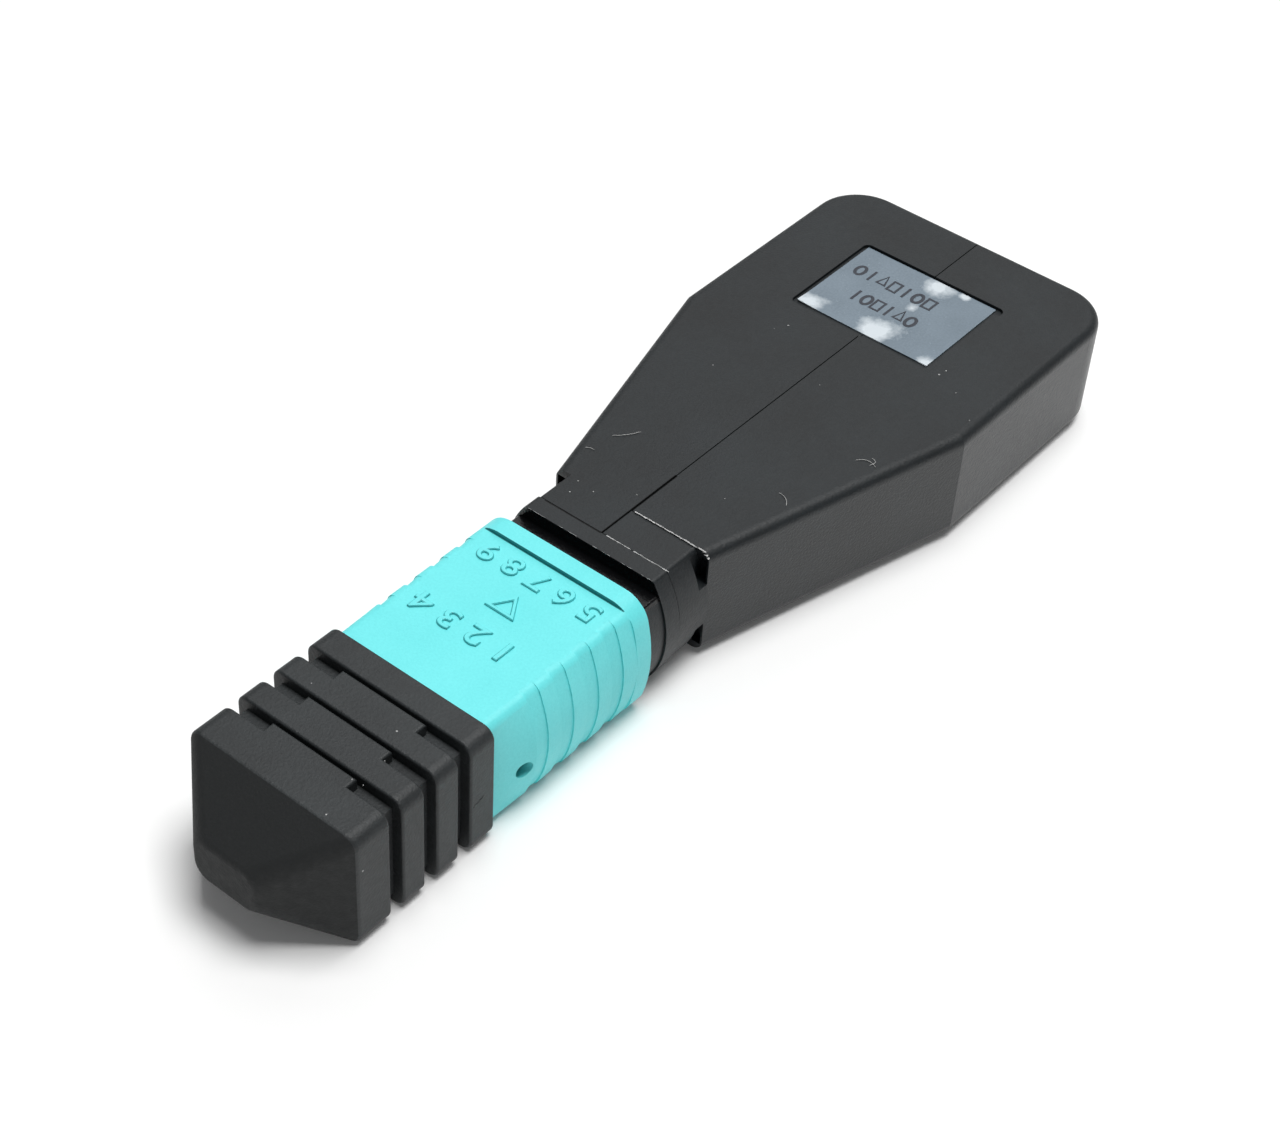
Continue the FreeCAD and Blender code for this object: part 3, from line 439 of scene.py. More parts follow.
@dataclass(frozen=True)
class Finish:
    """A moulded, rubber, drawn or printed surface made of grain, tone, rub and dust."""

    name: str
    colour: Colour
    shade: Colour
    roughness: float = 0.5
    rubbed: float = 0.4
    metallic: float = 0.0
    grain: float = 5500.0
    depth: float = 0.15
    cloud: float = 180.0
    specular: float = 0.5
    dust: float = 0.0
    dust_colour: Colour = (0.35, 0.35, 0.35)
    coat: float = 0.0
    zones: tuple[Zone, ...] = ()
    side_share: float = 1.0
    side_below: float = 4.1
    side_blend: float = 0.4
    # Pale spots of painted reflection, each given as its middle along X and Y and its reach, in
    # millimetres.
    painted_reflections: tuple[Point, ...] = ()
    reflection_colour: Colour = (0.62, 0.68, 0.72)

    def make(self, groups: dict[str, bpy.types.NodeTree]) -> bpy.types.Material:
        """Build the material.

        Args:
            groups: The shared node groups by name.

        Returns:
            The finished material.
        """
        material = bpy.data.materials.new(self.name)
        material.use_nodes = True
        bench = NodeBench(material.node_tree)
        surface = bench.add("ShaderNodeGroup", node_tree=groups["grain"])
        bench.feed(surface, Grain=self.grain, Cloud=self.cloud)
        tone = bench.mix(surface.outputs["Cloud"], self.colour, self.shade)
        rough = bench.span(surface.outputs["Rub"], 0.0, 1.0, self.roughness, self.rubbed)
        if self.dust:
            specks = bench.add("ShaderNodeGroup", node_tree=groups["dust"])
            bench.feed(specks, Share=self.dust)
            tone = bench.mix(specks.outputs["Speck"], tone, self.dust_colour)
        # Pale spots of painted reflection laid over the tone.
        for along, across, reach in self.painted_reflections:
            patch = bench.add("ShaderNodeGroup", node_tree=groups["painted_glare"])
            bench.feed(patch, Along=along * MM, Across=across * MM, Reach=reach * MM)
            tone = bench.mix(patch.outputs["Mask"], tone, self.reflection_colour)
        for zone in self.zones:
            inside = zone.mask(bench)
            tone = bench.mix(inside, tone, zone.colour)
            rough = bench.maths("MULTIPLY", rough, bench.span(inside, 0.0, 1.0, 1.0, zone.share))
        if self.side_share < 1.0:
            share = bench.span(bench.split(bench.place())[Axis.Z],
                               (self.side_below - self.side_blend) * MM, self.side_below * MM,
                               self.side_share, 1.0)
            rough = bench.maths("MULTIPLY", rough, share)
        bump = bench.add("ShaderNodeBump")
        bench.feed(bump, Height=surface.outputs["Height"], Strength=self.depth,
                   Distance=BUMP_DISTANCE)
        shader = bench.add("ShaderNodeBsdfPrincipled")
        bench.feed(shader, Base_Color=tone, Roughness=rough, Metallic=self.metallic,
                   Normal=bump.outputs["Normal"], Specular_IOR_Level=self.specular,
                   Coat_Weight=self.coat, Coat_Roughness=COAT_ROUGHNESS)
        bench.show("ShaderNodeOutputMaterial", shader.outputs["BSDF"])
        return material


# Heights of the coupling's flat top and of the marks on it, in millimetres.
COUPLING_TOP = 4.4
MARK_RISE = 0.18
MARK_SUNK = 0.03
MARK_CHAMFER = 0.07

CAP_BLACK = (0.0235, 0.0285, 0.0305)
NOSE_SHADE_BLACK = (0.007, 0.0085, 0.009)
MOULD_BLACK = (0.0110, 0.0156, 0.0182)
MOULD_SHADE = (0.0045, 0.006, 0.007)
GLOSS_SHADE_BLACK = (0.003, 0.003, 0.0035)
DEEP_BLACK = (0.0085, 0.0095, 0.0105)
SHADE_BLACK = (0.0004, 0.0004, 0.0005)
CROWN_AQUA = (0.155, 0.79, 0.81)
SHADE_TEAL = (0.02, 0.25, 0.26)

# Painted shade: a dark teal band on the front wall at the foot of the coupling's rib.
RIB_FOOT_SHADE = Zone((-19.14, -FAR, 4.38), (-19.04, FAR, FAR), SHADE_TEAL)
# Above this height a mark shows its crown's aqua; below it the mark's walls keep a darker aqua,
# which is painted shade.
MARK_CROWN = Zone((-FAR, -FAR, COUPLING_TOP + MARK_RISE - MARK_SUNK - 0.012), (FAR, FAR, FAR),
                  CROWN_AQUA)
# Painted shade in the gap behind the coupling: the neck's top and the flange's front wall are
# near-black, and glossier.
NECK_TOP_SHADE = Zone((-22.52, -FAR, 3.0), (FAR, FAR, FAR), GLOSS_SHADE_BLACK, 0.35)
# Painted shade on the cap's nose: a darker black than the rest of the cap, and rougher.
CAP_NOSE_SHADE = Zone((5.75, -FAR, -FAR), (FAR, FAR, FAR), NOSE_SHADE_BLACK, 1.35)
# Painted shade: near-black, rougher strips along the housing's parting groove and across the joint
# on the -Y side.
PARTING_SHADE = Zone((-31.6, -0.11, 4.2), (FAR, 0.11, FAR), SHADE_BLACK, 1.7)
JOINT_SHADE = Zone((-23.93, -4.8, 4.2), (-23.78, -0.05, FAR), SHADE_BLACK, 1.7)
# Painted reflections on the label film: the middle along X and Y and the reach of each pale spot,
# in millimetres.
FILM_PAINTED_REFLECTIONS = (
    (-53.4, -5.3, 1.1), (-54.1, 0.5, 1.3), (-57.9, 0.8, 0.6),
    (-61.4, 0.7, 1.05), (-61.8, 3.0, 0.4), (-53.3, 5.2, 0.8),
)
FINISHES = (
    Finish("cap_black", CAP_BLACK, (0.010, 0.012, 0.013), 0.57, 0.50, depth=1.0, dust=0.015,
           zones=(CAP_NOSE_SHADE,)),
    Finish("housing_black", MOULD_BLACK, MOULD_SHADE, 0.55, 0.48, depth=1.0, dust=0.012,
           specular=0.46, side_share=0.62, zones=(PARTING_SHADE,)),
    Finish("neck_black", MOULD_BLACK, MOULD_SHADE, 0.51, 0.45, depth=0.8, specular=0.46,
           zones=(NECK_TOP_SHADE, JOINT_SHADE)),
    Finish("plug_black", DEEP_BLACK, (0.006, 0.007, 0.0075), 0.42, 0.35),
    Finish("coupling_aqua", (0.175, 0.83, 0.85), (0.135, 0.75, 0.77), 0.5, 0.42, depth=0.55,
           zones=(RIB_FOOT_SHADE,)),
    # Painted shade on the marks' walls: a darker aqua than their crowns.
    Finish("mark_aqua_wall_shade", (0.07, 0.53, 0.55), (0.06, 0.47, 0.49), 0.5, 0.42, depth=0.1,
           zones=(MARK_CROWN,)),
    Finish("ferrule_black", (0.03, 0.031, 0.033), (0.022, 0.023, 0.025), 0.3, 0.22, grain=20000.0),
    Finish("boot_rubber", (0.02, 0.02, 0.021), (0.015, 0.015, 0.016), 0.75, 0.6),
    Finish("spring_steel", (0.60, 0.60, 0.61), (0.5, 0.5, 0.52), 0.28, 0.2, metallic=1.0),
    Finish("fibre_coat", (0.30, 0.72, 0.72), (0.24, 0.62, 0.64), 0.25, 0.2, grain=4000.0),
    Finish("fibre_glass", (0.75, 0.78, 0.80), (0.70, 0.73, 0.75), 0.08, 0.06, depth=0.0),
    Finish("label_film", (0.18, 0.235, 0.285), (0.13, 0.175, 0.215), 0.2, 0.28, depth=0.03,
           cloud=260.0, coat=0.2, painted_reflections=FILM_PAINTED_REFLECTIONS),
    Finish("print_ink", (0.015, 0.02, 0.03), (0.03, 0.035, 0.05), 0.5, 0.4),
    # A scratch's near-black is painted shade in its groove.
    Finish("scratch_painted_shade", (0.0015, 0.0015, 0.0018), (0.003, 0.003, 0.0035), 0.8, 0.7),
    Finish("worn_white", (0.62, 0.62, 0.61), (0.35, 0.35, 0.35), 0.7, 0.6),
    Finish("lint_grey", (0.50, 0.50, 0.49), (0.36, 0.36, 0.36), 0.8, 0.7),
)


@dataclass
class FinishRack:
    """Every finish of the plug, made once."""

    made: dict[str, bpy.types.Material] = field(default_factory=dict)

    def build(self) -> None:
        """Make the shared groups and all materials."""
        groups = {"grain": grain_group(), "dust": dust_group(), "painted_glare": painted_reflection_group()}
        for finish in FINISHES:
            self.made[finish.name] = finish.make(groups)

    def __getitem__(self, name: str) -> bpy.types.Material:
        """Hand over a made material by name."""
        return self.made[name]


# --- pieces ---------------------------------------------------------------------------------


@dataclass(frozen=True)
class Span:
    """The box of a fixed piece, in millimetres."""

    low: Vector
    high: Vector

    @classmethod
    def of(cls, node: str) -> "Span":
        """Read a node's box from the frame."""
        low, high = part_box(node)
        return cls(Vector(low) / MM, Vector(high) / MM)


@dataclass
class CoilSpring:
    """A drawn wire coil along X, round or stretched into an oval, that fills its node's box."""

    name: str
    node: str
    joint: str
    wire: float
    turns: int
    travel: float
    steps: int = 28
    wire_sides: int = 14
    smooth_to: float = 50.0

    def build(self, finish: bpy.types.Material) -> bpy.types.Object:
        """Model the coil and replace the plain one.

        Args:
            finish: The wire's material.

        Returns:
            The finished coil.
        """
        room = Span.of(self.node)
        length, across, height = room.high - room.low
        side = (room.low.y + room.high.y) / 2
        radius = (height - self.wire) / 2
        deselect_all()
        start = mm(room.low.x + self.wire / 2, side, 0)
        bpy.ops.mesh.primitive_circle_add(vertices=self.wire_sides, radius=self.wire / 2 * MM,
                                          location=start)
        coil = rename(self.name)
        bpy.ops.object.mode_set(mode="EDIT")
        bpy.ops.mesh.select_all(action="SELECT")
        bpy.ops.transform.translate(value=mm(0, radius, 0))
        bpy.ops.object.mode_set(mode="OBJECT")
        rise = (length - self.wire) / self.turns
        apply_modifier(coil, "SCREW", axis=Axis.X.value, screw_offset=rise * MM,
                       iterations=self.turns, steps=self.steps, render_steps=self.steps,
                       use_merge_vertices=True)
        bpy.ops.object.mode_set(mode="EDIT")
        bpy.ops.mesh.select_mode(type="EDGE")
        bpy.ops.mesh.select_all(action="DESELECT")
        bpy.ops.mesh.select_non_manifold()
        bpy.ops.mesh.fill()
        bpy.ops.mesh.select_mode(type="VERT")
        face_outwards()
        if across > height + self.wire:
            self.spread(coil, (across - height) / 2)
        freeze(coil)
        smooth_by_angle(coil, self.smooth_to)
        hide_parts(self.node)
        mount(coil, "paddle", finish)
        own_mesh(coil)
        return coil

    def spread(self, coil: bpy.types.Object, stretch: float) -> None:
        """Move the two sides of a round coil apart, which leaves straight runs between them.

        Args:
            coil: The round coil.
            stretch: How far each side moves, in millimetres.
        """
        for side in (1, -1):
            for vertex in coil.data.vertices:
                vertex.select = vertex.co.y * side > 0
            bpy.ops.object.mode_set(mode="EDIT")
            bpy.ops.transform.translate(value=mm(0, side * stretch, 0))
            bpy.ops.object.mode_set(mode="OBJECT")


@dataclass
class RaisedNumbers:
    """Plain moulded numbers on a flat top, read from the +Y side to the -Y side."""

    name: str
    text: str
    x: float
    y: float
    height: float
    width: float
    type_size: float = 1.4
    fatten: float = -0.01
    weld: float = 0.002

    def build(self, top: float, finish: bpy.types.Material) -> bpy.types.Object:
        """Model the numbers as low solid ridges.

        Args:
            top: The height of the flat top, in millimetres.
            finish: The numbers' material.

        Returns:
            The finished piece.
        """
        deselect_all()
        bpy.ops.object.text_add()
        piece = rename(self.name)
        piece.data.body = self.text
        piece.data.align_x = "CENTER"
        piece.data.align_y = "CENTER"
        piece.data.size = self.height * MM * self.type_size
        piece.data.resolution_u = 4
        piece.data.offset = self.fatten * MM
        piece.data.extrude = (MARK_RISE / 2 - MARK_CHAMFER) * MM
        piece.data.bevel_depth = MARK_CHAMFER * MM
        piece.data.bevel_resolution = 0
        pick(piece)
        bpy.ops.object.convert(target="MESH")
        piece = bpy.context.object
        measured = piece.dimensions.copy()
        across = self.width * MM / measured.x
        tall = self.height * MM / measured.y
        piece.matrix_world = (
            Matrix.Translation(mm(self.x, self.y, top + MARK_RISE / 2 - MARK_SUNK))
            @ Matrix.Rotation(-math.pi / 2, 4, Axis.Z.value)
            @ Matrix.Diagonal((across, tall, 1.0, 1.0))
        )
        freeze(piece)
        bpy.ops.object.mode_set(mode="EDIT")
        bpy.ops.mesh.select_all(action="SELECT")
        bpy.ops.mesh.remove_doubles(threshold=self.weld * MM)
        face_outwards()
        return mount(piece, "pull_sleeve", finish)


@dataclass
class PullArrow:
    """A raised triangle in outline that points to the rear, in millimetres."""

    x: float = -14.72
    y: float = 0.1
    long: float = 1.96
    wide: float = 2.48
    stroke: float = 0.3

    def build(self, top: float, finish: bpy.types.Material) -> bpy.types.Object:
        """Model the arrow as a low solid ridge.

        Args:
            top: The height of the flat top, in millimetres.
            finish: The arrow's material.

        Returns:
            The finished arrow.
        """
        deselect_all()
        bpy.ops.mesh.primitive_circle_add(vertices=3, radius=MM, fill_type="NGON")
        arrow = rename("pull_arrow")
        arrow.rotation_euler.z = math.pi / 2
        freeze(arrow)
        size = arrow.dimensions.copy()
        arrow.scale = (self.long * MM / size.x, self.wide * MM / size.y, 1.0)
        freeze(arrow)
        bpy.ops.object.mode_set(mode="EDIT")
        bpy.ops.mesh.select_mode(type="FACE")
        bpy.ops.mesh.select_all(action="SELECT")
        bpy.ops.mesh.inset(thickness=self.stroke * MM)
        bpy.ops.mesh.delete(type="ONLY_FACE")
        bpy.ops.object.mode_set(mode="OBJECT")
        ends = [vertex.co.x for vertex in arrow.data.vertices]
        middle = Vector(((min(ends) + max(ends)) / 2, 0.0, 0.0))
        arrow.location = mm(self.x, self.y, top - MARK_SUNK) - middle
        freeze(arrow)
        apply_modifier(arrow, "SOLIDIFY", thickness=MARK_RISE * MM, offset=1.0)
        apply_modifier(arrow, "BEVEL", width=MARK_CHAMFER * MM, segments=1, limit_method="ANGLE")
        bpy.ops.object.mode_set(mode="EDIT")
        face_outwards()
        return mount(arrow, "pull_sleeve", finish)


def outline_shape(sides: int, long: float, wide: float, line: float) -> bpy.types.Object:
    """Model the outline of a simple flat shape as a thin ridge round the origin.

    Args:
        sides: 3 for a triangle that points to -X, 4 for a box, more for a ring.
        long: Its size along X, in millimetres.
        wide: Its size along Y, in millimetres.
        line: The ridge's radius, in millimetres.

    Returns:
        The outline as a mesh.
    """
    deselect_all()
    bpy.ops.mesh.primitive_circle_add(vertices=sides, radius=MM, fill_type="NOTHING")
    piece = bpy.context.object
    piece.rotation_euler.z = math.pi / 2 + (math.pi / 4 if sides == 4 else 0.0)
    freeze(piece)
    size = piece.dimensions.copy()
    piece.scale = (long * MM / size.x, wide * MM / size.y, 1.0)
    freeze(piece)
    bpy.ops.object.convert(target="CURVE")
    piece = bpy.context.object
    piece.data.bevel_depth = line * MM
    piece.data.bevel_resolution = 2
    bpy.ops.object.convert(target="MESH")
    return bpy.context.object


class Shape(Enum):
    """Simple printed shapes, by their number of sides, but for the bar."""

    BAR = 2
    TRIANGLE = 3
    BOX = 4
    RING = 24


@dataclass
class PrintRow:
    """A row of simple printed shapes on the film."""

    name: str
    x: float
    start: float
    end: float
    shapes: tuple[Shape, ...]
    tall: float = 1.15
    wide: float = 0.7
    bar_wide: float = 0.02
    line: float = 0.13
    flatten: float = 0.08

    def build(self, level: float, finish: bpy.types.Material) -> bpy.types.Object:
        """Lay the shapes out from start to end.

        Args:
            level: The height of the film's top, in millimetres.
            finish: The ink's material.

        Returns:
            The finished row.
        """
        pieces = []
        step = (self.end - self.start) / (len(self.shapes) - 1)
        for number, shape in enumerate(self.shapes):
            if shape is Shape.BAR:
                piece = outline_shape(Shape.BOX.value, self.tall, self.bar_wide, self.line)
            else:
                piece = outline_shape(shape.value, self.tall, self.wide, self.line)
            piece.scale.z = self.flatten
            piece.location = mm(self.x, self.start + step * number, level)
            pieces.append(piece)
        return mount(join(pieces, self.name), "paddle", finish)


@dataclass
class LabelFilm:
    """The thin film in the housing's recess, in millimetres.

    It has sharp corners, lies a little off centre and lifts at one corner.
    """

    front: float = -53.0
    rear: float = -61.98
    left: float = -5.88
    right: float = 5.45
    thickness: float = 0.09
    lift: float = 0.1
    lift_reach: float = 2.4
    ripple: float = 0.008

    def build(self, finish: bpy.types.Material) -> bpy.types.Object:
        """Model the film and let it stand for the plain one.

        Args:
            finish: The film's material.

        Returns:
            The finished film.
        """
        floor = Span.of("label").low.z
        deselect_all()
        bpy.ops.mesh.primitive_grid_add(x_subdivisions=24, y_subdivisions=30, size=2 * MM)
        film = rename("label_film")
        film.scale = ((self.front - self.rear) / 2, (self.right - self.left) / 2, 1.0)
        film.location = mm((self.front + self.rear) / 2, (self.left + self.right) / 2,
                           floor + self.thickness)
        freeze(film)
        for vertex in film.data.vertices:
            x, y = vertex.co.x / MM, vertex.co.y / MM
            away = math.hypot(x - self.front, y - self.left)
            corner = max(0.0, 1.0 - away / self.lift_reach)
            wave = math.sin(x * 1.1 + 0.4) * math.cos(y * 0.8)
            vertex.co.z += (self.lift * corner ** 2 + self.ripple * (wave + 1.0)) * MM
        apply_modifier(film, "SOLIDIFY", thickness=self.thickness * MM, offset=-1.0)
        smooth_by_angle(film)
        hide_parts("label")
        return mount(film, "paddle", finish)


FLAKE_HEIGHT = 0.02  # half the height of a flake in a run, in millimetres
FLAKE_STEP = 1.5  # from one flake in a run to the next, in half lengths


@dataclass
class Flakes:
    """Small irregular flakes, joined into one piece: whitened edge crumbs or settled specks."""

    name: str
    seed: int
    ragged: float = 0.3
    pieces: list[bpy.types.Object] = field(default_factory=list)

    def __post_init__(self) -> None:
        """Start this piece's own random draw."""
        self.draw = random.Random(self.seed)

    def drop(self, place: Point, size: Point, turn: float) -> None:
        """Add one flake.

        Args:
            place: Its middle, in millimetres.
            size: Its half sizes along its own axes, in millimetres.
            turn: Its turn about Z, in radians.
        """
        deselect_all()
        bpy.ops.mesh.primitive_ico_sphere_add(subdivisions=1, radius=1.0)
        flake = bpy.context.object
        bpy.ops.object.mode_set(mode="EDIT")
        bpy.ops.transform.vertex_random(offset=self.ragged, seed=self.draw.randint(1, 10000))
        bpy.ops.object.mode_set(mode="OBJECT")
        flake.scale = mm(*size)
        flake.rotation_euler.z = turn
        flake.location = mm(*place)
        freeze(flake)
        self.pieces.append(flake)

    def settle(self, spots: tuple[Point, ...], level: float, narrow: float) -> None:
        """Drop flakes on a flat top, each turned at random.

        Args:
            spots: Where each lies along X and Y and its half length, in millimetres.
            level: The height of their middles, in millimetres.
            narrow: Their width as a share of their length.
        """
        for x, y, size in spots:
            self.drop((x, y, level), (size, size * narrow, 0.03), self.draw.uniform(0, math.pi))

    def run(self, start: Point, end: Point, width: float, share: float) -> None:
        """Scatter long thin flakes along a straight edge, broken here and there.

        Args:
            start: Where the edge starts, in millimetres.
            end: Where it ends, in millimetres.
            width: The line's half width, in millimetres.
            share: How much of the edge is marked.
        """
        begin, finish = Vector(start), Vector(end)
        way = (finish - begin).normalized()
        turn = math.atan2(way.y, way.x)
        gone = 0.0
        while gone < (finish - begin).length:
            half = self.draw.uniform(0.08, 0.28)
            spot = begin + way * (gone + half)
            offset = self.draw.uniform(-0.3, 0.3) * width
            thick = width * self.draw.uniform(0.5, 1.1)
            if self.draw.random() < share:
                self.drop((spot.x - way.y * offset, spot.y + way.x * offset, spot.z),
                          (half, thick, FLAKE_HEIGHT), turn)
            gone += half * FLAKE_STEP

    def build(self, body: str, slot: str, finish: bpy.types.Material) -> bpy.types.Object:
        """Join the flakes and finish them as one piece."""
        return mount(join(self.pieces, self.name), body, finish)


@dataclass
class LintHair:
    """A fine hair lying on a flat top."""

    name: str
    start: Point
    end: Point
    bow: float
    thickness: float = 0.022
    arch: float = 0.05
    reach: float = 0.35

    def build(self, finish: bpy.types.Material) -> bpy.types.Object:
        """Model the hair as a thin bent thread.

        Args:
            finish: The hair's material.

        Returns:
            The finished hair.
        """
        deselect_all()
        bpy.ops.curve.primitive_bezier_curve_add()
        hair = rename(self.name)
        ends = (mm(*self.start), mm(*self.end))
        way = ends[1] - ends[0]
        aside = Vector((-way.y, way.x, 0.0)) * self.bow
        lift = mm(0, 0, self.arch)
        handles = (way * self.reach + aside, way * self.reach - aside)
        for point, spot, handle in zip(hair.data.splines[0].bezier_points, ends, handles):
            point.handle_left_type = point.handle_right_type = "FREE"
            point.co = spot
            point.handle_left = spot - handle + lift
            point.handle_right = spot + handle + lift
        hair.data.bevel_depth = self.thickness * MM
        hair.data.bevel_resolution = 1
        hair.data.use_fill_caps = True
        pick(hair)
        bpy.ops.object.convert(target="MESH")
        hair = rename(self.name)
        return mount(hair, "paddle", finish)


@dataclass
class FibreEnds:
    """The polished ends of the twelve fibres in the ferrule's face, in millimetres."""

    count: int = 12
    pitch: float = 0.25
    radius: float = 0.0625
    proud: float = 0.004
    depth: float = 0.02
    rounding: float = 0.003

    def build(self, finish: bpy.types.Material) -> bpy.types.Object:
        """Model the row of fibre ends.

        Args:
            finish: The glass's material.

        Returns:
            The finished row.
        """
        face = Span.of("ferrule").high.x
        ends = []
        for number in range(self.count):
            deselect_all()
            side = (number - (self.count - 1) / 2) * self.pitch
            bpy.ops.mesh.primitive_cylinder_add(
                vertices=16, radius=self.radius * MM, depth=self.depth * MM,
                location=mm(face + self.proud - self.depth / 2, side, 0),
                rotation=(0, math.pi / 2, 0))
            end = bpy.context.object
            apply_modifier(end, "BEVEL", width=self.rounding * MM, segments=2)
            ends.append(end)
        row = join(ends, "fibre_ends")
        smooth_by_angle(row)
        return mount(row, "ferrule_group", finish)


GLOW_REACH = (0.15, 1.1)  # from and to how far out the floor's own glow grows, in metres
GLOW_STRENGTH = (0.05, 0.95)  # the glow's strength at those two distances


@dataclass
class Stage:
    """The camera, the white floor and the soft light.

    The eye and the floor's level are in millimetres. The camera's right, down and ahead are
    directions.
    """

    eye: Point = (70.936, 73.332, 111.195)
    right: Point = (-0.63107, 0.77400, 0.05174)
    down: Point = (0.50037, 0.45713, -0.73530)
    ahead: Point = (-0.59277, -0.43814, -0.67577)
    lens: float = 70.2
    sensor: float = 36.0
    floor_level: float = -4.705
    floor_size: float = 6.0

    def camera(self) -> None:
        """Stand the camera at the object's front corner, looking down on it."""
        data = bpy.data.cameras.new("camera")
        data.lens = self.lens
        data.sensor_width = self.sensor
        data.clip_start = 0.005
        data.clip_end = 20.0
        camera = bpy.data.objects.new("camera", data)
        bpy.context.scene.collection.objects.link(camera)
        turn = Matrix((self.right, [-v for v in self.down], [-v for v in self.ahead])).transposed()
        camera.matrix_world = Matrix.Translation(mm(*self.eye)) @ turn.to_4x4()
        bpy.context.scene.camera = camera

    def floor(self) -> None:
        """Lay a wide white floor that the object stands on and throws its shadow on."""
        deselect_all()
        bpy.ops.mesh.primitive_plane_add(size=self.floor_size,
                                         location=mm(0, 0, self.floor_level))
        floor = rename("floor")
        material = bpy.data.materials.new("floor_white")
        material.use_nodes = True
        bench = NodeBench(material.node_tree)
        matt = bench.feed(bench.add("ShaderNodeBsdfDiffuse"), Color=(0.93, 0.93, 0.925, 1.0))
        path = bench.add("ShaderNodeLightPath").outputs
        seen = bench.maths("ADD", path["Is Camera Ray"], path["Is Glossy Ray"])
        seen = bench.maths("ADD", seen, path["Is Transmission Ray"])
        away = bench.add("ShaderNodeVectorMath", operation="LENGTH")
        bench.link(bench.place(), away.inputs[0])
        lift = bench.span(away.outputs["Value"], *GLOW_REACH, *GLOW_STRENGTH)
        strength = bench.maths("MULTIPLY", bench.maths("MINIMUM", seen, 1.0), lift)
        glow = bench.feed(bench.add("ShaderNodeEmission"), Color=(1.0, 1.0, 1.0, 1.0),
                          Strength=strength)
        both = bench.add("ShaderNodeAddShader")
        bench.link(matt.outputs["BSDF"], both.inputs[0])
        bench.link(glow.outputs["Emission"], both.inputs[1])
        bench.show("ShaderNodeOutputMaterial", both.outputs["Shader"])
        dress(floor, material)

    def lamp(self, name: str, place: Point, aim: Point, size: float, power: float) -> None:
        """Hang a square soft lamp.

        Args:
            name: The lamp's name.
            place: Where it hangs, in metres.
            aim: The point that it faces, in metres.
            size: Its side, in metres.
            power: Its power in watts.
        """
        data = bpy.data.lights.new(name, "AREA")
        data.shape = "SQUARE"
        data.size = size
        data.energy = power
        lamp = bpy.data.objects.new(name, data)
        bpy.context.scene.collection.objects.link(lamp)
        lamp.location = place
        lamp.rotation_mode = "QUATERNION"
        lamp.rotation_quaternion = (Vector(aim) - Vector(place)).to_track_quat("-Z", "Y")

    def light(self) -> None:
        """Light the object with a wide sheet behind it, a lamp overhead and a dim surround."""
        world = bpy.data.worlds.new("surround")
        bpy.context.scene.world = world
        world.use_nodes = True
        bench = NodeBench(world.node_tree)
        back = bench.feed(bench.add("ShaderNodeBackground"), Color=(0.97, 0.985, 1.0, 1.0),
                          Strength=0.15)
        bench.show("ShaderNodeOutputWorld", back.outputs["Background"])
        middle = (-0.03, 0.0, 0.0)
        self.lamp("back_sheet", (-0.93, -0.5, 0.85), middle, 1.3, 4.2)
        self.lamp("overhead", (-0.12, 0.085, 0.8), middle, 0.42, 6.2)

    def build(self) -> None:
        """Set up the whole stage and the plain colour view."""
        bpy.context.scene.view_settings.view_transform = "Standard"
        self.camera()
        self.floor()
        self.light()


NODE_FINISHES = {
    "dust_cap": "cap_black",
    "outer_coupling": "coupling_aqua",
    "inner_housing": "plug_black",
    "ferrule": "ferrule_black",
    "ferrule_boot": "boot_rubber",
    "pin_keeper": "plug_black",
    "spring_push": "neck_black",
    "housing_left": "housing_black",
    "housing_right": "housing_black",
    "label": "label_film",
}
SPRINGS = (
    CoilSpring("return_coil_left", "coupling_spring_left", "coupling_slide", 0.26, 7, 1.6),
    CoilSpring("return_coil_right", "coupling_spring_right", "coupling_slide", 0.26, 7, 1.6),
    CoilSpring("ferrule_coil", "ferrule_spring", "ferrule_slide", 0.5, 5, 0.9),
)


SHORT_PRINT = (Shape.BAR, Shape.RING, Shape.BOX, Shape.BAR, Shape.TRIANGLE, Shape.RING)
LONG_PRINT = (Shape.RING, Shape.BAR, Shape.TRIANGLE, Shape.BOX, Shape.BAR, Shape.RING, Shape.BOX)
PRINT_LIFT = 0.022  # how far the print's middle lies above the film, in millimetres
JOINT_BACK = 3.03  # from the tongue's end back to the housing's joint, in millimetres
FLANGE_AHEAD = 1.42  # from the tongue's end forward to the flange's edge, in millimetres
# Where each speck or crumb lies (x and y) and its half size, in millimetres.
HOUSING_SPECKS = (
    (-53.3, 6.9, 0.07), (-51.7, 8.8, 0.06), (-45.9, 1.3, 0.05), (-49.9, -4.4, 0.07),
    (-49.8, 11.2, 0.05), (-31.9, 3.8, 0.05), (-26.75, -4.44, 0.07), (-25.55, -4.12, 0.07),
    (-26.6, -3.0, 0.06), (-28.3, -0.7, 0.06),
)
CAP_CRUMBS = ((2.4, 3.2, 0.06), (2.3, 4.0, 0.05), (5.3, 4.0, 0.07), (0.1, 3.6, 0.05))
# Each hair's name, where it starts and ends (x and y, in millimetres) and how far it bows.
HAIRS = (
    ("lint_hair_left", (-31.9, -5.75), (-33.5, -4.6), -0.1),
    ("lint_hair_front", (-29.7, -6.3), (-29.9, -5.7), 0.1),
    ("lint_hair_edge", (-41.0, 7.9), (-41.3, 9.3), 0.3),
    ("lint_hair_right", (-34.8, 6.1), (-34.1, 7.2), 0.2),
    ("lint_hair_curl", (-41.2, 8.9), (-41.9, 8.6), -0.5),
)


def mark_coupling(rack: FinishRack) -> None:
    """Raise two rows of numbers and an arrow on the coupling's top."""
    for mark in (
        RaisedNumbers("numbers_rear", "5 6 7 8 9", -17.6, 0.1, 1.75, 9.6),
        RaisedNumbers("numbers_front", "1 2 3 4", -11.4, -0.7, 1.75, 7.6),
        PullArrow(),
    ):
        mark.build(COUPLING_TOP, rack["mark_aqua_wall_shade"])


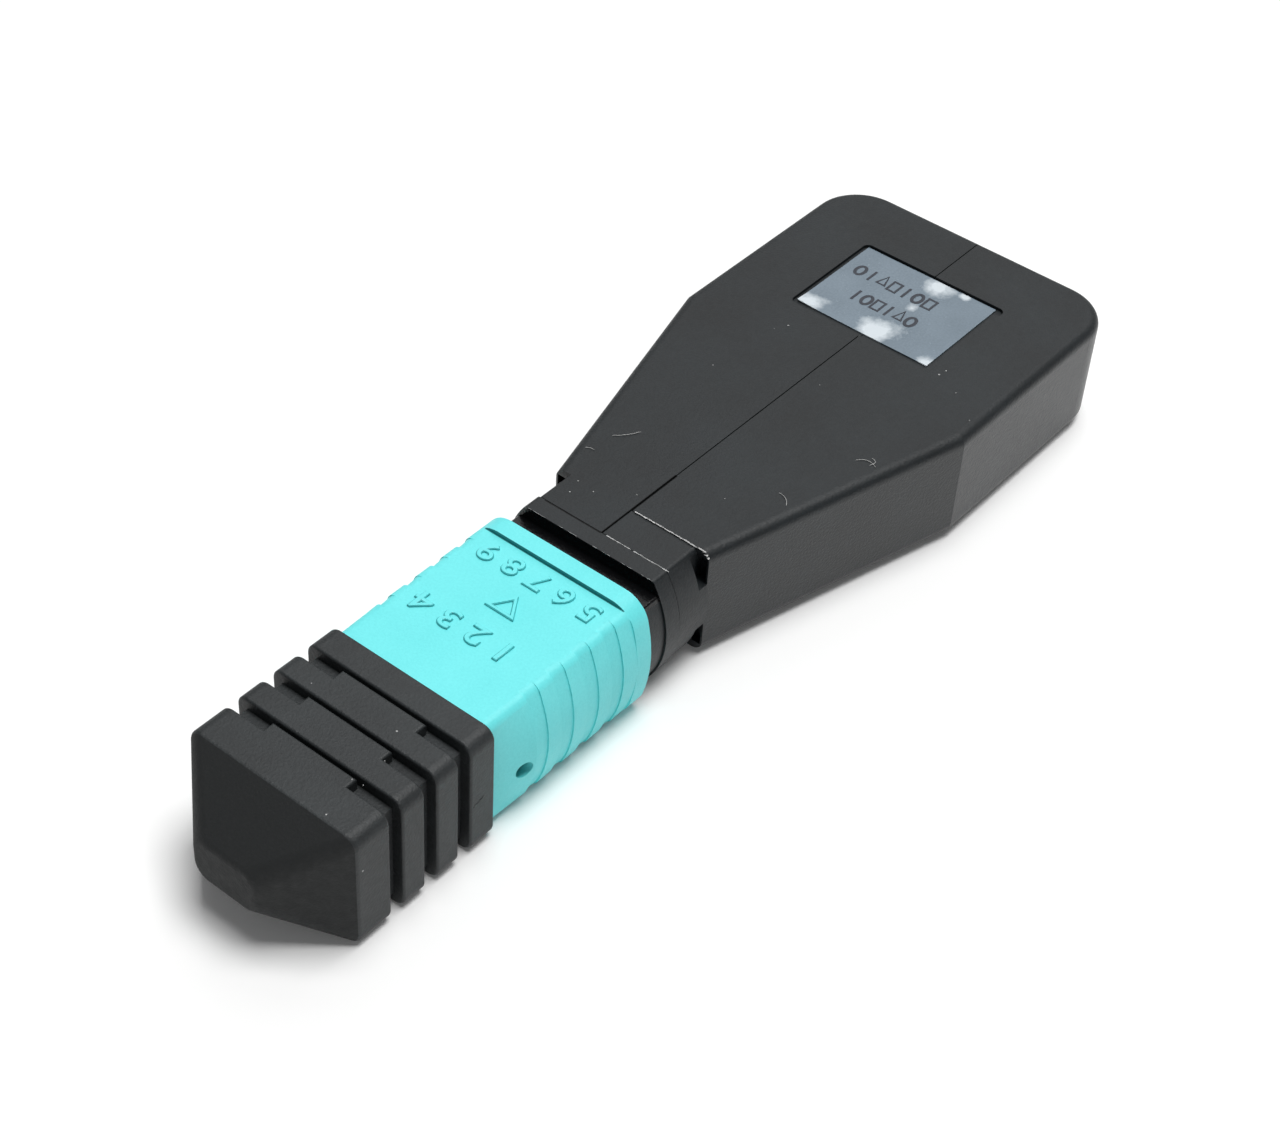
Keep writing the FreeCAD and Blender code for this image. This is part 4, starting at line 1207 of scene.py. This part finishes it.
def print_label(rack: FinishRack) -> None:
    """Lay the film in its recess and print two rows of simple shapes on it."""
    film = LabelFilm()
    film.build(rack["label_film"])
    level = Span.of("label").low.z + film.thickness + PRINT_LIFT
    for row in (
        PrintRow("print_short", -56.45, -3.1, 1.7, SHORT_PRINT),
        PrintRow("print_long", -59.15, -4.6, 1.5, LONG_PRINT),
    ):
        row.build(level, rack["print_ink"])


def wear_and_dust(rack: FinishRack) -> None:
    """Whiten the scuffed edges, drop specks and hairs where they lie, and scratch the cap."""
    end, top = Span.of("housing_right").high.x, Span.of("housing_right").high.z
    joint, flange = end - JOINT_BACK, end + FLANGE_AHEAD - 0.02
    scuffs = Flakes("scuffed_edges", 11)
    scuffs.run((end + 0.02, 0.34, top), (end + 0.02, 5.35, top), 0.05, 0.92)
    scuffs.run((joint, 0.2, top), (joint, 5.9, top), 0.075, 0.95)
    scuffs.run((joint, 5.9, top - 0.02), (joint, 6.25, top - 0.3), 0.11, 1.0)
    scuffs.run((flange, -5.2, top), (flange, 5.2, top), 0.018, 0.5)
    scuffs.build("paddle", "spring_push", rack["worn_white"])
    specks = Flakes("dust_specks", 5)
    specks.settle(HOUSING_SPECKS, top + 0.01, 0.7)
    specks.build("paddle", "housing_left", rack["lint_grey"])
    for name, start, stop, bow in HAIRS:
        LintHair(name, (*start, top + 0.02), (*stop, top + 0.02), bow).build(rack["lint_grey"])
    cap = Span.of("dust_cap").high
    crumbs = Flakes("cap_crumbs", 23)
    crumbs.settle(CAP_CRUMBS, cap.z, 0.8)
    crumbs.build("cap", "dust_cap", rack["lint_grey"])
    # A real scratch on the cap's +Y side, coloured near-black as painted shade in its groove.
    scratch = Flakes("cap_scratch", 31)
    scratch.run((-4.1, cap.y, -0.65), (-5.05, cap.y, -0.3), 0.03, 0.9)
    scratch.build("cap", "dust_cap", rack["scratch_painted_shade"])


def main() -> None:
    """Build the stage, dress the fixed pieces, then add the detailed ones."""
    logging.basicConfig(level=logging.INFO, format="%(name)s: %(message)s")
    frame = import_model()
    Stage().build()
    rack = FinishRack()
    rack.build()
    for node, piece in frame["nodes"].items():
        plain = "fibre_coat" if node.startswith("fibre") else "spring_steel"
        dress(piece, rack[NODE_FINISHES.get(node, plain)])
    for spring in SPRINGS:
        spring.build(rack["spring_steel"])
    FibreEnds().build(rack["fibre_glass"])
    mark_coupling(rack)
    print_label(rack)
    wear_and_dust(rack)


if __name__ == "__main__":
    main()
